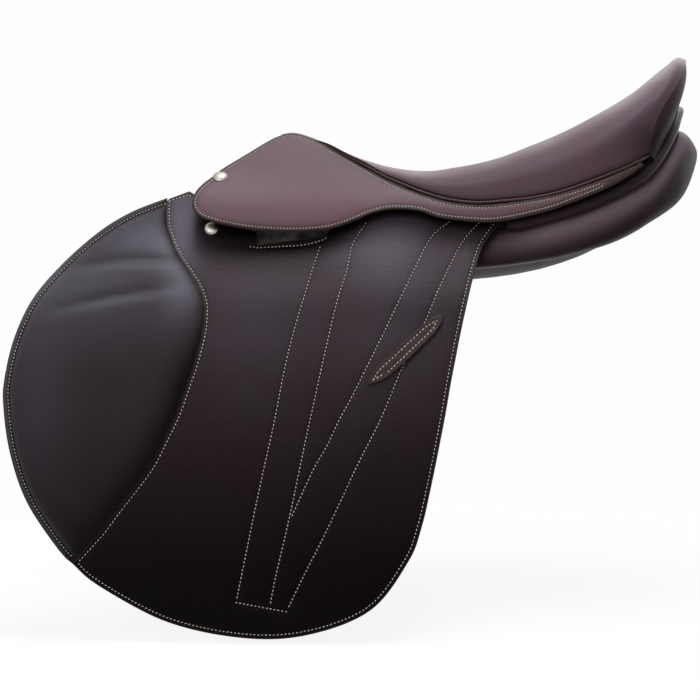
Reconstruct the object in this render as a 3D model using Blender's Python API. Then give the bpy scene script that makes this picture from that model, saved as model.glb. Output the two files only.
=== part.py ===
"""Close-contact jumping saddle, 17.5 inch seat.

Axes: +X runs from the pommel to the cantle, -Y is the near (left) side, +Z is up.
The origin is on the centre plane, in the middle of the length that bears on the back.
Sizes are in millimetres and are turned into metres when a mesh is made.
"Out" is the distance from the centre plane, and each side piece is built once for each side.
"""

import bisect
import math

import bmesh
import bpy
from mathutils import Vector

MM = 0.001

# Leather, foam and clearances
SEAM_GAP = 0.5
LAYER_GAP = 0.5
SKIRT_LEATHER = 4.0
FLAP_LEATHER = 4.0
SWEAT_LEATHER = 3.0
COVER_LEATHER = 2.5
POCKET_LEATHER = 2.5
PATCH_CLOTH = 2.0
KEEPER_LEATHER = 3.0
SEAT_FOAM = 9.0
TREE_WOOD = 10.0
HEAD_WOOD = 8.0
PLATE_STEEL = 2.0
WEB_CLOTH = 2.0

# Seat
POMMEL_X = -138.0
CANTLE_X = 236.0
WELT_FRONT_X = -131.0
WELT_REAR_X = 180.0
SEAT_ROUNDNESS = 2.4
SEAT_DISH = 8.0
SEAT_DISH_START = 20.0
CANTLE_SWEEP = 26.0
CANTLE_CORNER = 30.0
SEAT_LENGTHS = 18
SEAT_WIDTHS = 16
WELT_RADIUS = 2.3
WELT_SINK = 0.6

# Skirt
SKIRT_TOP_OUT = 45.0
SKIRT_SWELL = 78.0
SKIRT_TOP_Z = 124.0
SKIRT_DEPTH = 94.0
SKIRT_AXIS = ((-203.0, 72.0), (-14.0, 47.0))
SKIRT_AXIS_PROUD = 1.6

# Flap
FLAP_SPREAD = 0.05
FLAP_SPREAD_FROM = -230.0
FLAP_AXIS = ((-300.0, 22.7), (47.0, 8.0))
FLAP_AXIS_PROUD = 1.0
PAD_RISE = 8.0
PAD_ROLL = 24.0
PAD_RIM = 6.0
PAD_FOLD = 0.7
GIRTH_SPACE = 15.0
BLOCK_CLEAR = 1.2
BLOCK_EDGE = 4.0
BLOCK_ROLL = 10.0

# Girth straps
STRAP_WIDTH = 25.0
STRAP_THICK = 4.0
STRAP_CENTRES = (-91.5, -53.5)
STRAP_TOP = -1.0
STRAP_SHOULDER = 3.6
STRAP_STRAIGHT = -75.0
STRAP_END = -240.0
STRAP_POINT = 14.0
STRAP_SKIVE_FROM = -195.0
STRAP_SKIVE = 0.04
STRAP_LEAN = 1.1
GUARD_LENGTH = 55.0
GUARD_LOW = -155.0
GUARD_WALL = 2.0
GUARD_CLEAR = 0.5

# Stirrup bar
BAR_FRONT = -165.0
BAR_REAR = -107.0
BAR_LOW = 36.0
BAR_HIGH = 47.0
BAR_TO_SKIRT = 9.0
BAR_PLATE = 3.5
BAR_SPACE = 10.0
BAR_THICK = 8.0
BAR_FILLET = 3.0
CATCH_LENGTH = 13.0

# Fittings
NAIL_RADIUS = 6.2
NAIL_HEIGHT = 3.6
NAIL_PLACE = (-185.0, 80.5)
STUD_RADIUS = 5.8
STUD_HEIGHT = 3.4
STUD_PLACE = (-193.0, 34.0)
ROLL_RADIUS = 6.2


def curve(*knots):
    """A smooth line through (place, value) knots, straight beyond its ends."""
    knots = sorted(knots)
    places = [knot[0] for knot in knots]
    values = [knot[1] for knot in knots]
    last = len(knots) - 1
    slopes = []
    for i in range(last + 1):
        below = max(i - 1, 0)
        above = min(i + 1, last)
        if below == i or above == i:
            slopes.append((values[above] - values[below]) / (places[above] - places[below]))
            continue
        rise_in = (values[i] - values[below]) / (places[i] - places[below])
        rise_out = (values[above] - values[i]) / (places[above] - places[i])
        span_in = places[i] - places[below]
        span_out = places[above] - places[i]
        slopes.append((rise_in * span_out + rise_out * span_in) / (span_in + span_out))

    def at(place):
        if place <= places[0]:
            return values[0] + slopes[0] * (place - places[0])
        if place >= places[last]:
            return values[last] + slopes[last] * (place - places[last])
        i = bisect.bisect_right(places, place) - 1
        span = places[i + 1] - places[i]
        t = (place - places[i]) / span
        return (values[i] * (1 + 2 * t) * (1 - t) ** 2 + values[i + 1] * t * t * (3 - 2 * t)
                + span * slopes[i] * t * (1 - t) ** 2 - span * slopes[i + 1] * t * t * (1 - t))

    return at


# Side forms: how far out the leather lies at a place (x, z)
flap_drop = curve((66, 90), (45, 97.5), (20, 107), (0, 121), (-25, 139), (-60, 153),
                  (-120, 165), (-200, 176), (-300, 186))
skirt_rise = curve((-200, 0), (-30, 0), (20, 0), (52, 3), (93, 12), (135, 28), (171, 45), (180, 50))
skirt_widen = curve((-200, 0), (-30, 0), (10, 2.5), (52, 6), (93, 9), (135, 7), (171, -3), (180, -7))


def flap_face(x, z):
    return flap_drop(z) + FLAP_SPREAD * (x - FLAP_SPREAD_FROM)


def skirt_face(x, z):
    down = (SKIRT_TOP_Z + skirt_rise(x) - z) / SKIRT_DEPTH
    down = min(max(down, -0.5), 1.0)
    return SKIRT_TOP_OUT + SKIRT_SWELL * math.sin(math.pi / 2 * down) + skirt_widen(x)


# Stirrup bar and tree point: both follow the skirt that covers them
BAR_OUT = skirt_face(BAR_FRONT + 35, BAR_HIGH) - SKIRT_LEATHER - BAR_TO_SKIRT
BAR_IN = BAR_OUT - BAR_THICK
BAR_PLATE_OUT = BAR_IN - BAR_SPACE - BAR_PLATE
POINT_OUT = BAR_PLATE_OUT - 1.9


# Seat forms
welt_line = curve((-131, 125), (-110, 120), (-93, 110), (-76, 98), (-61, 89), (-46, 79), (-32, 72),
                  (-15, 64), (10, 56), (35, 53), (52, 54), (93, 59), (135, 73), (171, 89), (180, 94))
seat_line = curve((-138, 129), (-128, 130.5), (-113, 127), (-98, 120.5), (-79, 109), (-55, 99.5),
                  (-26, 93), (2, 92), (32, 98), (61, 107), (91, 120), (122, 134), (153, 150),
                  (185, 168), (217, 191), (229, 198), (236, 195))


def seat_point(u, v):
    """The seat's outer surface: u from pommel to cantle, v from the left welt to the right."""
    middle_x = POMMEL_X + (CANTLE_X - POMMEL_X) * u
    edge_x = WELT_FRONT_X + (WELT_REAR_X - WELT_FRONT_X) * u
    wide = math.sin(math.pi / 2 * min(abs(v), 1.0))
    sweep = (CANTLE_SWEEP * wide ** 1.2 + CANTLE_CORNER * wide ** 8) / (CANTLE_SWEEP + CANTLE_CORNER)
    x = middle_x + (edge_x - middle_x) * sweep
    y = math.copysign(skirt_face(edge_x, welt_line(edge_x)) * wide, v)
    low = welt_line(edge_x)
    rise = (1 - wide ** SEAT_ROUNDNESS) ** (1 / SEAT_ROUNDNESS)
    dish = 0.0
    if middle_x > SEAT_DISH_START:
        along = (middle_x - SEAT_DISH_START) / (CANTLE_X - SEAT_DISH_START)
        dish = SEAT_DISH * math.sin(math.pi * along) * (1 - wide * wide) ** 2
    return Vector((x, y, low + (seat_line(middle_x) - low) * rise - dish))


def seat_normal(u, v):
    step = 0.01
    v = max(min(v, 1 - step), step - 1)
    along = seat_point(min(u + step, 1), v) - seat_point(max(u - step, 0), v)
    across = seat_point(u, v + step) - seat_point(u, v - step)
    return along.cross(across).normalized()


def seat_layer(depth):
    """The seat's surface moved in by a depth, square to the surface."""
    return lambda u, v: seat_point(u, v) - seat_normal(u, v) * depth


def welt_point(u, side):
    """The middle of the piping, which runs between the seat and the skirt."""
    x = WELT_FRONT_X + (WELT_REAR_X - WELT_FRONT_X) * u
    return Vector((x, side * (skirt_face(x, welt_line(x)) - WELT_SINK), welt_line(x)))


def cover_layer(depth):
    """The seat's layer with its outermost rows drawn in to the side of the piping."""
    inner_row = 1 - 2 / SEAT_WIDTHS
    next_row = 1 - 4 / SEAT_WIDTHS
    layer = seat_layer(depth)

    def edge(u, side):
        welt = welt_point(u, side)
        along = (welt_point(min(u + 0.02, 1), side) - welt_point(max(u - 0.02, 0), side)).normalized()
        row = side * (next_row if crowded(u, side) else inner_row)
        inward = seat_layer(COVER_LEATHER / 2)(u, row) - welt
        inward = (inward - along * inward.dot(along)).normalized()
        return (welt + inward * (WELT_RADIUS + 2 * SEAM_GAP)
                + seat_normal(u, row) * (COVER_LEATHER / 2 - depth) * 0.8)

    def crowded(u, side):
        return (seat_point(u, side * inner_row) - welt_point(u, side)).length < 4 * WELT_RADIUS

    def at(u, v):
        side = math.copysign(1, v)
        if abs(v) > inner_row:
            return edge(u, side)
        if abs(v) == inner_row and crowded(u, side):
            return layer(u, side * next_row).lerp(edge(u, side), 0.6)
        return layer(u, v)

    return at


# Making meshes
def material(name, colour, roughness, metallic=0.0):
    made = bpy.data.materials.new(name)
    made.use_nodes = True
    shader = made.node_tree.nodes["Principled BSDF"]
    shader.inputs["Base Color"].default_value = (*colour, 1.0)
    shader.inputs["Roughness"].default_value = roughness
    shader.inputs["Metallic"].default_value = metallic
    made.diffuse_color = (*colour, 1.0)
    return made


def finish(name, shape, finish_material, joint=None):
    """Puts a shape in millimetres into an object of its own."""
    bmesh.ops.remove_doubles(shape, verts=shape.verts, dist=0.01)
    bmesh.ops.dissolve_degenerate(shape, edges=shape.edges, dist=0.005)
    bmesh.ops.triangulate(shape, faces=[face for face in shape.faces if len(face.verts) > 4])
    bmesh.ops.recalc_face_normals(shape, faces=shape.faces)
    bmesh.ops.scale(shape, vec=(MM, MM, MM), verts=shape.verts)
    if joint:
        bmesh.ops.translate(shape, vec=-joint.location, verts=shape.verts)
    mesh = bpy.data.meshes.new(name)
    shape.to_mesh(mesh)
    shape.free()
    mesh.materials.append(finish_material)
    mesh.shade_smooth()
    mesh.set_sharp_from_angle(angle=math.radians(40))
    made = bpy.data.objects.new(name, mesh)
    made.parent = joint
    saddle.objects.link(made)
    return made


def smooth_run(points, step=14.0):
    """Points along a smooth line through the given ones, the ends included."""
    path = []
    for i in range(len(points) - 1):
        before = Vector(points[max(i - 1, 0)])
        start = Vector(points[i])
        end = Vector(points[i + 1])
        after = Vector(points[min(i + 2, len(points) - 1)])
        parts = max(1, round((end - start).length / step))
        for k in range(parts):
            t = k / parts
            path.append(0.5 * (2 * start + (end - before) * t
                               + (2 * before - 5 * start + 4 * end - after) * t * t
                               + (3 * start - before - 3 * end + after) * t ** 3))
    path.append(Vector(points[-1]))
    return path


def smooth_loop(points, step=14.0):
    """Points round a smooth closed line through the given ones."""
    wrapped = [points[-1], *points, points[0], points[1]]
    run = smooth_run(wrapped, step)
    first = min(range(len(run)), key=lambda i: (run[i] - Vector(points[0])).length)
    rest = run[first + 1:]
    last = min(range(len(rest)), key=lambda i: (rest[i] - Vector(points[0])).length)
    return run[first:first + 1 + last]


def beside(run, distance):
    """A run of points moved sideways, to the left of its direction."""
    moved = []
    for i, point in enumerate(run):
        ahead = run[min(i + 1, len(run) - 1)] - run[max(i - 1, 0)]
        ahead.normalize()
        moved.append(point + Vector((-ahead.y, ahead.x)) * distance)
    return moved


def plate(outline, holes=(), cell=24.0, cuts=()):
    """A flat filled outline in the (x, z) plane, cut into cells so that it can be bent."""
    shape = bmesh.new()
    edges = []
    for ring in (outline, *holes):
        corners = [shape.verts.new((point[0], 0, point[1])) for point in ring]
        for i, corner in enumerate(corners):
            edges.append(shape.edges.new((corners[i - 1], corner)))
    bmesh.ops.triangle_fill(shape, use_beauty=True, use_dissolve=True, edges=edges, normal=(0, 1, 0))
    for point, normal in cuts:
        bmesh.ops.bisect_plane(shape, geom=shape.verts[:] + shape.edges[:] + shape.faces[:], dist=1e-4,
                               plane_co=(point[0], 0, point[1]), plane_no=(normal[0], 0, normal[1]),
                               clear_outer=True)
    for axis in (0, 2):
        low = min(vert.co[axis] for vert in shape.verts)
        high = max(vert.co[axis] for vert in shape.verts)
        for k in range(math.ceil(low / cell), math.floor(high / cell) + 1):
            place = [0, 0, 0]
            normal = [0, 0, 0]
            place[axis] = k * cell
            normal[axis] = 1
            bmesh.ops.bisect_plane(shape, geom=shape.verts[:] + shape.edges[:] + shape.faces[:],
                                   dist=0.4, plane_co=place, plane_no=normal)
    bmesh.ops.remove_doubles(shape, verts=shape.verts, dist=0.35)
    bmesh.ops.triangulate(shape, faces=shape.faces)
    return shape


def side_sheet(name, side, shape, outer, inner, finish_material, joint=None):
    """Bends a flat plate to a side form and gives it its thickness."""
    made = bmesh.ops.extrude_face_region(shape, geom=shape.faces[:])["geom"]
    backs = {item for item in made if isinstance(item, bmesh.types.BMVert)}
    for vert in shape.verts:
        form = inner if vert in backs else outer
        vert.co.y = side * form(vert.co.x, vert.co.z)
    return finish(name, shape, finish_material, joint)


def grid_form(name, columns, rows, outer, inner, finish_material, joint=None):
    """A closed piece between two surfaces, each a function of a column and a row place."""
    shape = bmesh.new()
    bmesh.ops.create_grid(shape, x_segments=len(columns) - 1, y_segments=len(rows) - 1, size=0.5)
    made = bmesh.ops.extrude_face_region(shape, geom=shape.faces[:])["geom"]
    backs = {item for item in made if isinstance(item, bmesh.types.BMVert)}
    for vert in shape.verts:
        column = columns[round((vert.co.x + 0.5) * (len(columns) - 1))]
        row = rows[round((vert.co.y + 0.5) * (len(rows) - 1))]
        form = inner if vert in backs else outer
        vert.co = form(column, row)
    return finish(name, shape, finish_material, joint)


def steps(first, last, whole):
    """Places on the seat's own net of lines, from one line to another."""
    return [k / whole for k in range(first, last + 1)]


def even(first, last, parts):
    return [first + (last - first) * k / parts for k in range(parts + 1)]


def tube(name, points, radius, finish_material, sides=1):
    """A round cord through points, made a mesh with its ends closed."""
    data = bpy.data.curves.new(name, "CURVE")
    data.dimensions = "3D"
    data.bevel_depth = radius * MM
    data.bevel_resolution = sides
    data.use_fill_caps = True
    line = data.splines.new("POLY")
    line.points.add(len(points) - 1)
    for slot, point in zip(line.points, points):
        slot.co = (point[0] * MM, point[1] * MM, point[2] * MM, 1)
    guide = bpy.data.objects.new(name, data)
    saddle.objects.link(guide)
    seen = guide.evaluated_get(bpy.context.evaluated_depsgraph_get())
    shape = bmesh.new()
    shape.from_mesh(bpy.data.meshes.new_from_object(seen))
    bpy.data.objects.remove(guide)
    bmesh.ops.scale(shape, vec=(1 / MM, 1 / MM, 1 / MM), verts=shape.verts)
    return finish(name, shape, finish_material)


def extruded(name, outline, holes, depth, place, along, finish_material, joint=None):
    """A flat outline with straight walls; place maps (a, b) to a point of its first face."""
    shape = bmesh.new()
    edges = []
    for ring in (outline, *holes):
        corners = [shape.verts.new((point[0], point[1], 0)) for point in ring]
        for i, corner in enumerate(corners):
            edges.append(shape.edges.new((corners[i - 1], corner)))
    bmesh.ops.triangle_fill(shape, use_beauty=True, use_dissolve=False, edges=edges, normal=(0, 0, 1))
    made = bmesh.ops.extrude_face_region(shape, geom=shape.faces[:])["geom"]
    backs = {item for item in made if isinstance(item, bmesh.types.BMVert)}
    for vert in shape.verts:
        start = place(vert.co.x, vert.co.y)
        vert.co = start + Vector(along) * depth if vert in backs else start
    return finish(name, shape, finish_material, joint)


def dome(name, side, form, place, radius, height, finish_material, joint=None):
    """A domed metal head that sits on a side form, square to it."""
    x, z = place
    step = 1.0
    slope_x = (form(x + step, z) - form(x - step, z)) / (2 * step)
    slope_z = (form(x, z + step) - form(x, z - step)) / (2 * step)
    outward = Vector((-slope_x, side, -slope_z)).normalized()
    shape = bmesh.new()
    bmesh.ops.create_uvsphere(shape, u_segments=16, v_segments=8, radius=radius)
    bmesh.ops.scale(shape, vec=(1, 1, height / radius), verts=shape.verts)
    cut = bmesh.ops.bisect_plane(shape, geom=shape.verts[:] + shape.edges[:] + shape.faces[:],
                                 dist=1e-4, plane_co=(0, 0, 0), plane_no=(0, 0, -1), clear_outer=True)
    rim = [item for item in cut["geom_cut"] if isinstance(item, bmesh.types.BMEdge)]
    bmesh.ops.contextual_create(shape, geom=rim)
    turn = outward.to_track_quat("Z", "Y").to_matrix()
    bmesh.ops.rotate(shape, matrix=turn, verts=shape.verts)
    seat = Vector((x, side * form(x, z), z)) + outward * LAYER_GAP
    bmesh.ops.translate(shape, vec=seat, verts=shape.verts)
    return finish(name, shape, finish_material, joint)


def joint_empty(name, place):
    made = bpy.data.objects.new(name, None)
    made.location = [value * MM for value in place]
    saddle.objects.link(made)
    return made


def inset(outline):
    """How far a place (x, z) lies inside a closed outline."""
    ring = [Vector(point) for point in outline]

    def at(x, z):
        place = Vector((x, z))
        nearest = min(
            (place - a - (b - a) * min(max((place - a).dot(b - a) / (b - a).length_squared, 0), 1)).length
            for a, b in zip(ring, ring[1:] + ring[:1]))
        return nearest if inside(ring, place) else 0.0

    return at


def inside(ring, place):
    within = False
    for a, b in zip(ring, ring[1:] + ring[:1]):
        if (a.y > place.y) != (b.y > place.y):
            if place.x < (b.x - a.x) * (place.y - a.y) / (b.y - a.y) + a.x:
                within = not within
    return within


def swell(depth, height, roll, rim=0.0):
    """The rise of a padded surface at a depth from its edge, round like a quarter circle."""
    part = min(max(depth - rim, 0.0) / roll, 1.0)
    return height * math.sqrt(1 - (1 - part) ** 2)


# Outlines in (x, z), seen from the near side
FLAP_FRONT = ((-213, 66), (-234, 61), (-262, 50), (-289, 33), (-314, 9), (-337, -23), (-351, -57),
              (-358, -93), (-358, -116), (-351, -154), (-336, -193), (-309, -231), (-297, -242))
FLAP_BOTTOM = ((-297, -242), (-276, -259), (-220, -287), (-159, -299), (-108, -296), (-58, -276),
               (-28, -238), (-17, -210), (-8, -172), (2, -124), (8, -92), (18, -46), (28, -9),
               (38, 18), (52, 37))
PAD_SEAM = ((-233, 62), (-231, 47), (-228, 34), (-220, 16), (-208, -2), (-199, -15), (-193, -29),
            (-192, -43), (-193, -57), (-198, -79), (-204, -98), (-213, -124), (-222, -143),
            (-233, -165), (-246, -183), (-260, -201), (-276, -222), (-297, -242))
FLAP_HEAD = ((50, 39), (10, 44), (-20, 50), (-50, 60), (-80, 72), (-200, 72))
WINDOW = ((-154, 31), (-153, 20), (-96, 27), (-90, 34), (-90, 58), (-176, 58), (-176, 33))
PATCH = ((-168, 18.2), (-84, 14.8), (-84, 34), (-168, 34))
KEEPER = ((-60, -98), (-54, -85), (-15, -49), (0, -41), (-4, -54), (-42, -90))
SKIRT_BELOW = ((158, 78), (152, 74), (135, 63), (114, 54), (93, 46), (68, 41), (50, 38), (37, 37.5),
               (18, 39), (-1, 42), (-14, 47))
SKIRT_LOBE = ((-14, 47), (-27, 49), (-40, 49.5), (-52, 47), (-72, 39), (-91, 32), (-110, 30),
              (-156, 32), (-178, 36), (-195, 41), (-205, 47), (-209, 57), (-207, 67), (-203, 72))
SKIRT_NOSE = ((-203, 72), (-197, 77), (-188, 86), (-171, 100), (-154, 114), (-142, 122), (-133, 124.5))
SWEAT_FLAP = ((-225, 1), (-270, -28), (-303, -76), (-312, -120), (-300, -165), (-270, -210),
              (-225, -243), (-160, -262), (-105, -258), (-70, -236), (-48, -198), (-36, -150),
              (-22, -90), (-6, -40), (18, 1))
KNEE_BLOCK = ((-233, -34), (-218, -24), (-204, -34), (-200, -70), (-206, -110), (-222, -148),
              (-240, -176), (-254, -172), (-248, -148), (-238, -110), (-236, -70))
THIGH_BLOCK = ((-13, -52), (-2, -46), (8, -58), (6, -90), (-1, -130), (-9, -140), (-15, -128),
               (-16, -90))
POINT_POCKET = ((-208, 30), (-163, 30), (-165, 2), (-176, -12), (-195, -12), (-206, 2))

flap_front = smooth_run(FLAP_FRONT)
flap_bottom = smooth_run(FLAP_BOTTOM)
pad_seam = smooth_run(PAD_SEAM)
pad_outline = flap_front[:-1] + pad_seam[::-1]
pad_depth = inset(pad_outline)


def padded_face(x, z):
    """The flap's face with the knee pad on it, pinched in where the flap folds."""
    (x0, z0), (x1, z1) = FLAP_AXIS
    fold = abs((x1 - x0) * (z - z0) - (z1 - z0) * (x - x0)) / math.hypot(x1 - x0, z1 - z0)
    rise = swell(pad_depth(x, z), PAD_RISE, PAD_ROLL, PAD_RIM)
    return flap_face(x, z) + min(rise, fold * PAD_FOLD)


def below(form, depth):
    return lambda x, z: form(x, z) - depth


def make_flap(side, word, joint):
    """The flap in its three sewn parts: a fixed head, the main leather and the padded front."""
    (x0, z0), (x1, z1) = FLAP_AXIS
    across = Vector((z0 - z1, x1 - x0)).normalized()
    half = across * SEAM_GAP / 2
    above_cut = ((x0 + half.x, z0 + half.y), -across)
    below_cut = ((x0 - half.x, z0 - half.y), across)
    whole = flap_front[:-1] + flap_bottom + [Vector(point) for point in FLAP_HEAD]
    side_sheet(f"{word}_flap_head", side, plate(whole, [WINDOW], cuts=[above_cut]), padded_face,
               below(flap_face, FLAP_LEATHER), leather_dark)
    main = beside(pad_seam, SEAM_GAP) + flap_bottom[1:] + [Vector(point) for point in FLAP_HEAD]
    side_sheet(f"{word}_flap", side, plate(main, cuts=[below_cut]), flap_face,
               below(flap_face, FLAP_LEATHER), leather_dark, joint)
    side_sheet(f"{word}_knee_pad", side, plate(pad_outline, cuts=[below_cut]), padded_face,
               below(flap_face, FLAP_LEATHER), leather_soft, joint)
    keeper_back = below(flap_face, -LAYER_GAP)
    side_sheet(f"{word}_leather_keeper", side, plate([Vector(point) for point in KEEPER]),
               below(keeper_back, -KEEPER_LEATHER), keeper_back, leather_dark, joint)
    patch_face = below(flap_face, FLAP_LEATHER + LAYER_GAP)
    side_sheet(f"{word}_bar_patch", side, plate([Vector(point) for point in PATCH]), patch_face,
               below(patch_face, PATCH_CLOTH), cloth)
    dome(f"{word}_point_stud", side, flap_face, STUD_PLACE, STUD_RADIUS, STUD_HEIGHT, silver)


def make_skirt(side, word, joint):
    """The skirt: a fixed upper part sewn to the seat, and the lobe that lifts off the bar."""
    xs = even(WELT_FRONT_X, 158, 22)
    top = [Vector((x, welt_line(x))) for x in xs]
    top = beside(top, -(WELT_RADIUS + SEAM_GAP))
    (x0, z0), (x1, z1) = SKIRT_AXIS
    gap = Vector((0, SEAM_GAP))
    fixed = top + smooth_run(SKIRT_BELOW)[:-1] + [Vector((x1, z1)) + gap, Vector((x0, z0)) + gap]
    fixed += smooth_run(SKIRT_NOSE)[1:-1]
    side_sheet(f"{word}_skirt_head", side, plate(fixed, cell=18), skirt_face,
               below(skirt_face, SKIRT_LEATHER), leather_seat)
    lobe = smooth_run(SKIRT_LOBE)
    side_sheet(f"{word}_skirt", side, plate(lobe, cell=18), skirt_face,
               below(skirt_face, SKIRT_LEATHER), leather_seat, joint)
    dome(f"{word}_skirt_nail", side, skirt_face, NAIL_PLACE, NAIL_RADIUS, NAIL_HEIGHT, silver)


def make_sweat_flap(side, word):
    """The inner flap with its knee and thigh blocks."""
    face = below(flap_face, FLAP_LEATHER + GIRTH_SPACE)
    side_sheet(f"{word}_sweat_flap", side, plate(smooth_run(SWEAT_FLAP)), face,
               below(face, SWEAT_LEATHER), leather_soft)
    height = GIRTH_SPACE - LAYER_GAP - BLOCK_CLEAR
    for piece, points in (("knee_block", KNEE_BLOCK), ("thigh_block", THIGH_BLOCK)):
        ring = smooth_loop(points)
        depth = inset(ring)
        seat = below(face, -LAYER_GAP)

        def block_face(x, z, seat=seat, depth=depth):
            return seat(x, z) + BLOCK_EDGE + swell(depth(x, z), height - BLOCK_EDGE, BLOCK_ROLL)

        side_sheet(f"{word}_{piece}", side, plate(ring, cell=12), block_face, seat, leather_soft)


def strap_face(x, z):
    """The outer face of the girth straps, which hang straight in the space under the flap."""
    middle = FLAP_LEATHER + (GIRTH_SPACE - STRAP_THICK) / 2
    spread = FLAP_SPREAD * (x - FLAP_SPREAD_FROM)
    if z >= STRAP_STRAIGHT:
        lean = STRAP_LEAN * min(1.0, z / STRAP_STRAIGHT) if z < 0 else 0.0
        return flap_drop(z) - middle + lean + spread
    top = flap_drop(STRAP_STRAIGHT)
    slope = (flap_drop(STRAP_END) - top) / (STRAP_STRAIGHT - STRAP_END)
    return top + slope * (STRAP_STRAIGHT - z) - middle + STRAP_LEAN + spread


def strap_outer(x, z):
    """The straps' outer face with their ends pared thinner, so that they go through a buckle."""
    return strap_face(x, z) - STRAP_SKIVE * max(0.0, STRAP_SKIVE_FROM - z)


def rectangle(wide, deep):
    return ((-wide, -deep), (wide, -deep), (wide, deep), (-wide, deep))


def make_straps(side, word, joint):
    """Two girth straps and the guard that slides on them."""
    for place, middle, fall in zip(("front", "rear"), STRAP_CENTRES, (STRAP_SHOULDER, 0)):
        low = middle - STRAP_WIDTH / 2
        high = middle + STRAP_WIDTH / 2
        outline = ((low, STRAP_TOP - fall), (high, STRAP_TOP - STRAP_SHOULDER + fall),
                   (high, STRAP_END + STRAP_POINT), (middle, STRAP_END), (low, STRAP_END + STRAP_POINT))
        side_sheet(f"{word}_{place}_girth_strap", side, plate(outline, cell=15), strap_outer,
                   below(strap_face, STRAP_THICK), leather_dark, joint)
    width = STRAP_CENTRES[1] - STRAP_CENTRES[0] + STRAP_WIDTH
    middle = sum(STRAP_CENTRES) / 2
    high = GUARD_LOW + GUARD_LENGTH
    top = Vector((middle, side * strap_face(middle, high), high))
    low = Vector((middle, side * strap_face(middle, GUARD_LOW), GUARD_LOW))
    down = (low - top).normalized()
    across = Vector((1, side * FLAP_SPREAD, 0)).normalized()
    outward = across.cross(down) * side
    centre = low - outward * STRAP_THICK / 2
    hole = rectangle(width / 2 + GUARD_CLEAR, STRAP_THICK / 2 + GUARD_CLEAR)
    ring = rectangle(width / 2 + GUARD_CLEAR + GUARD_WALL, STRAP_THICK / 2 + GUARD_CLEAR + GUARD_WALL)
    extruded(f"{word}_buckle_guard", ring, [hole], GUARD_LENGTH,
             lambda a, b: centre + across * a + outward * b, -down, leather_dark, joint)


# (out, z) of the webbing from the strap tops to its place under the tree bar
GIRTH_WEB_ENDS = (-84, -42)
GIRTH_WEB_PATH = ((111.2, 0.9, 0), (97.5, 20, 0), (91.5, 36, 0), (86, 52, 0), (78, 61.5, 0),
                  (66, 66.8, 0), (54, 68.9, 0))


def make_girth_web(side, word):
    """The webbing that carries the girth straps from under the tree bar."""
    path = smooth_run(GIRTH_WEB_PATH, step=11)
    xs = even(*GIRTH_WEB_ENDS, 3)
    spots = list(range(len(path)))

    def outer(column, row):
        point = path[row]
        return Vector((column, side * (point.x + FLAP_SPREAD * (column - FLAP_SPREAD_FROM)), point.y))

    def inner(column, row):
        ahead = path[min(row + 1, len(path) - 1)] - path[max(row - 1, 0)]
        square = Vector((-ahead.y, ahead.x)).normalized() * WEB_CLOTH
        point = path[row] + Vector((square.x, square.y, 0))
        return Vector((column, side * (point.x + FLAP_SPREAD * (column - FLAP_SPREAD_FROM)), point.y))

    grid_form(f"{word}_girth_web", xs, spots, outer, inner, cloth)


def make_bar(side, word, joint):
    """The stirrup bar: a plate on the tree, a bend at its front and the bar itself."""
    inner = BAR_PLATE_OUT
    plate_out = inner + BAR_PLATE
    bar_in = BAR_IN
    bar_out = BAR_OUT
    bend = BAR_FRONT + BAR_THICK
    outline = ((BAR_REAR, inner), (BAR_REAR, plate_out), (bend + BAR_FILLET, plate_out),
               (bend, plate_out + BAR_FILLET), (bend, bar_in - BAR_FILLET), (bend + BAR_FILLET, bar_in),
               (BAR_REAR, bar_in), (BAR_REAR, bar_out), (bend, bar_out),
               (BAR_FRONT + 2, bar_out - BAR_FILLET), (BAR_FRONT, bar_out - BAR_THICK), (BAR_FRONT, inner))
    extruded(f"{word}_stirrup_bar", outline, [], BAR_HIGH - BAR_LOW,
             lambda a, b: Vector((a, side * b, BAR_LOW)), (0, 0, 1), steel)
    start = BAR_REAR + SEAM_GAP
    end = start + CATCH_LENGTH
    catch = ((start, BAR_LOW), (start, BAR_HIGH), (end - 3, BAR_HIGH), (end, BAR_HIGH - 3),
             (end, BAR_LOW + 2), (end - 2, BAR_LOW))
    extruded(f"{word}_bar_catch", catch, [], BAR_THICK,
             lambda a, b: Vector((a, side * bar_in, b)), (0, side, 0), steel, joint)


# (out, z) of the tree's head from its top to the end of a point, and the x of its two edges
# at a part of that length, 160 being the whole
HEAD_ARCH = ((0, 114.2), (18, 113.2), (34, 107.6), (50, 96.4), (63, 83), (73, 72), (80, 60),
             (POINT_OUT, 48), (POINT_OUT + 2, 30), (POINT_OUT + 4.5, 5))
HEAD_WHOLE = 160.0
HEAD_CROWN = 75.0
HEAD_TOP_X = -128.0
head_front = curve((0, -138), (20, -139), (50, -150), (90, -172), (125, -190), (HEAD_WHOLE, -203))
head_rear = curve((0, -97), (50, -97), (75, -92), (95, -92), (115, -104), (135, -140), (HEAD_WHOLE, -168))


# The leather over the front of the head: how far out and how high its outer edge is, along the arch
FACING_LEATHER = 2.5
FACING_LIP = 3.0
FACING_END = 98.0
facing_out = curve((0, 0), (20, 21), (38, 40), (50, 52), (64, 64), (78, 74), (90, 82), (100, 86))
facing_top = curve((0, 127.5), (20, 127), (38, 123.5), (50, 113.5), (64, 104), (78, 94), (90, 82),
                   (100, 72))


def arch_path():
    run = smooth_run(HEAD_ARCH, step=12)
    lengths = [0.0]
    for a, b in zip(run, run[1:]):
        lengths.append(lengths[-1] + (b - a).length)
    return run, lengths


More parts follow.
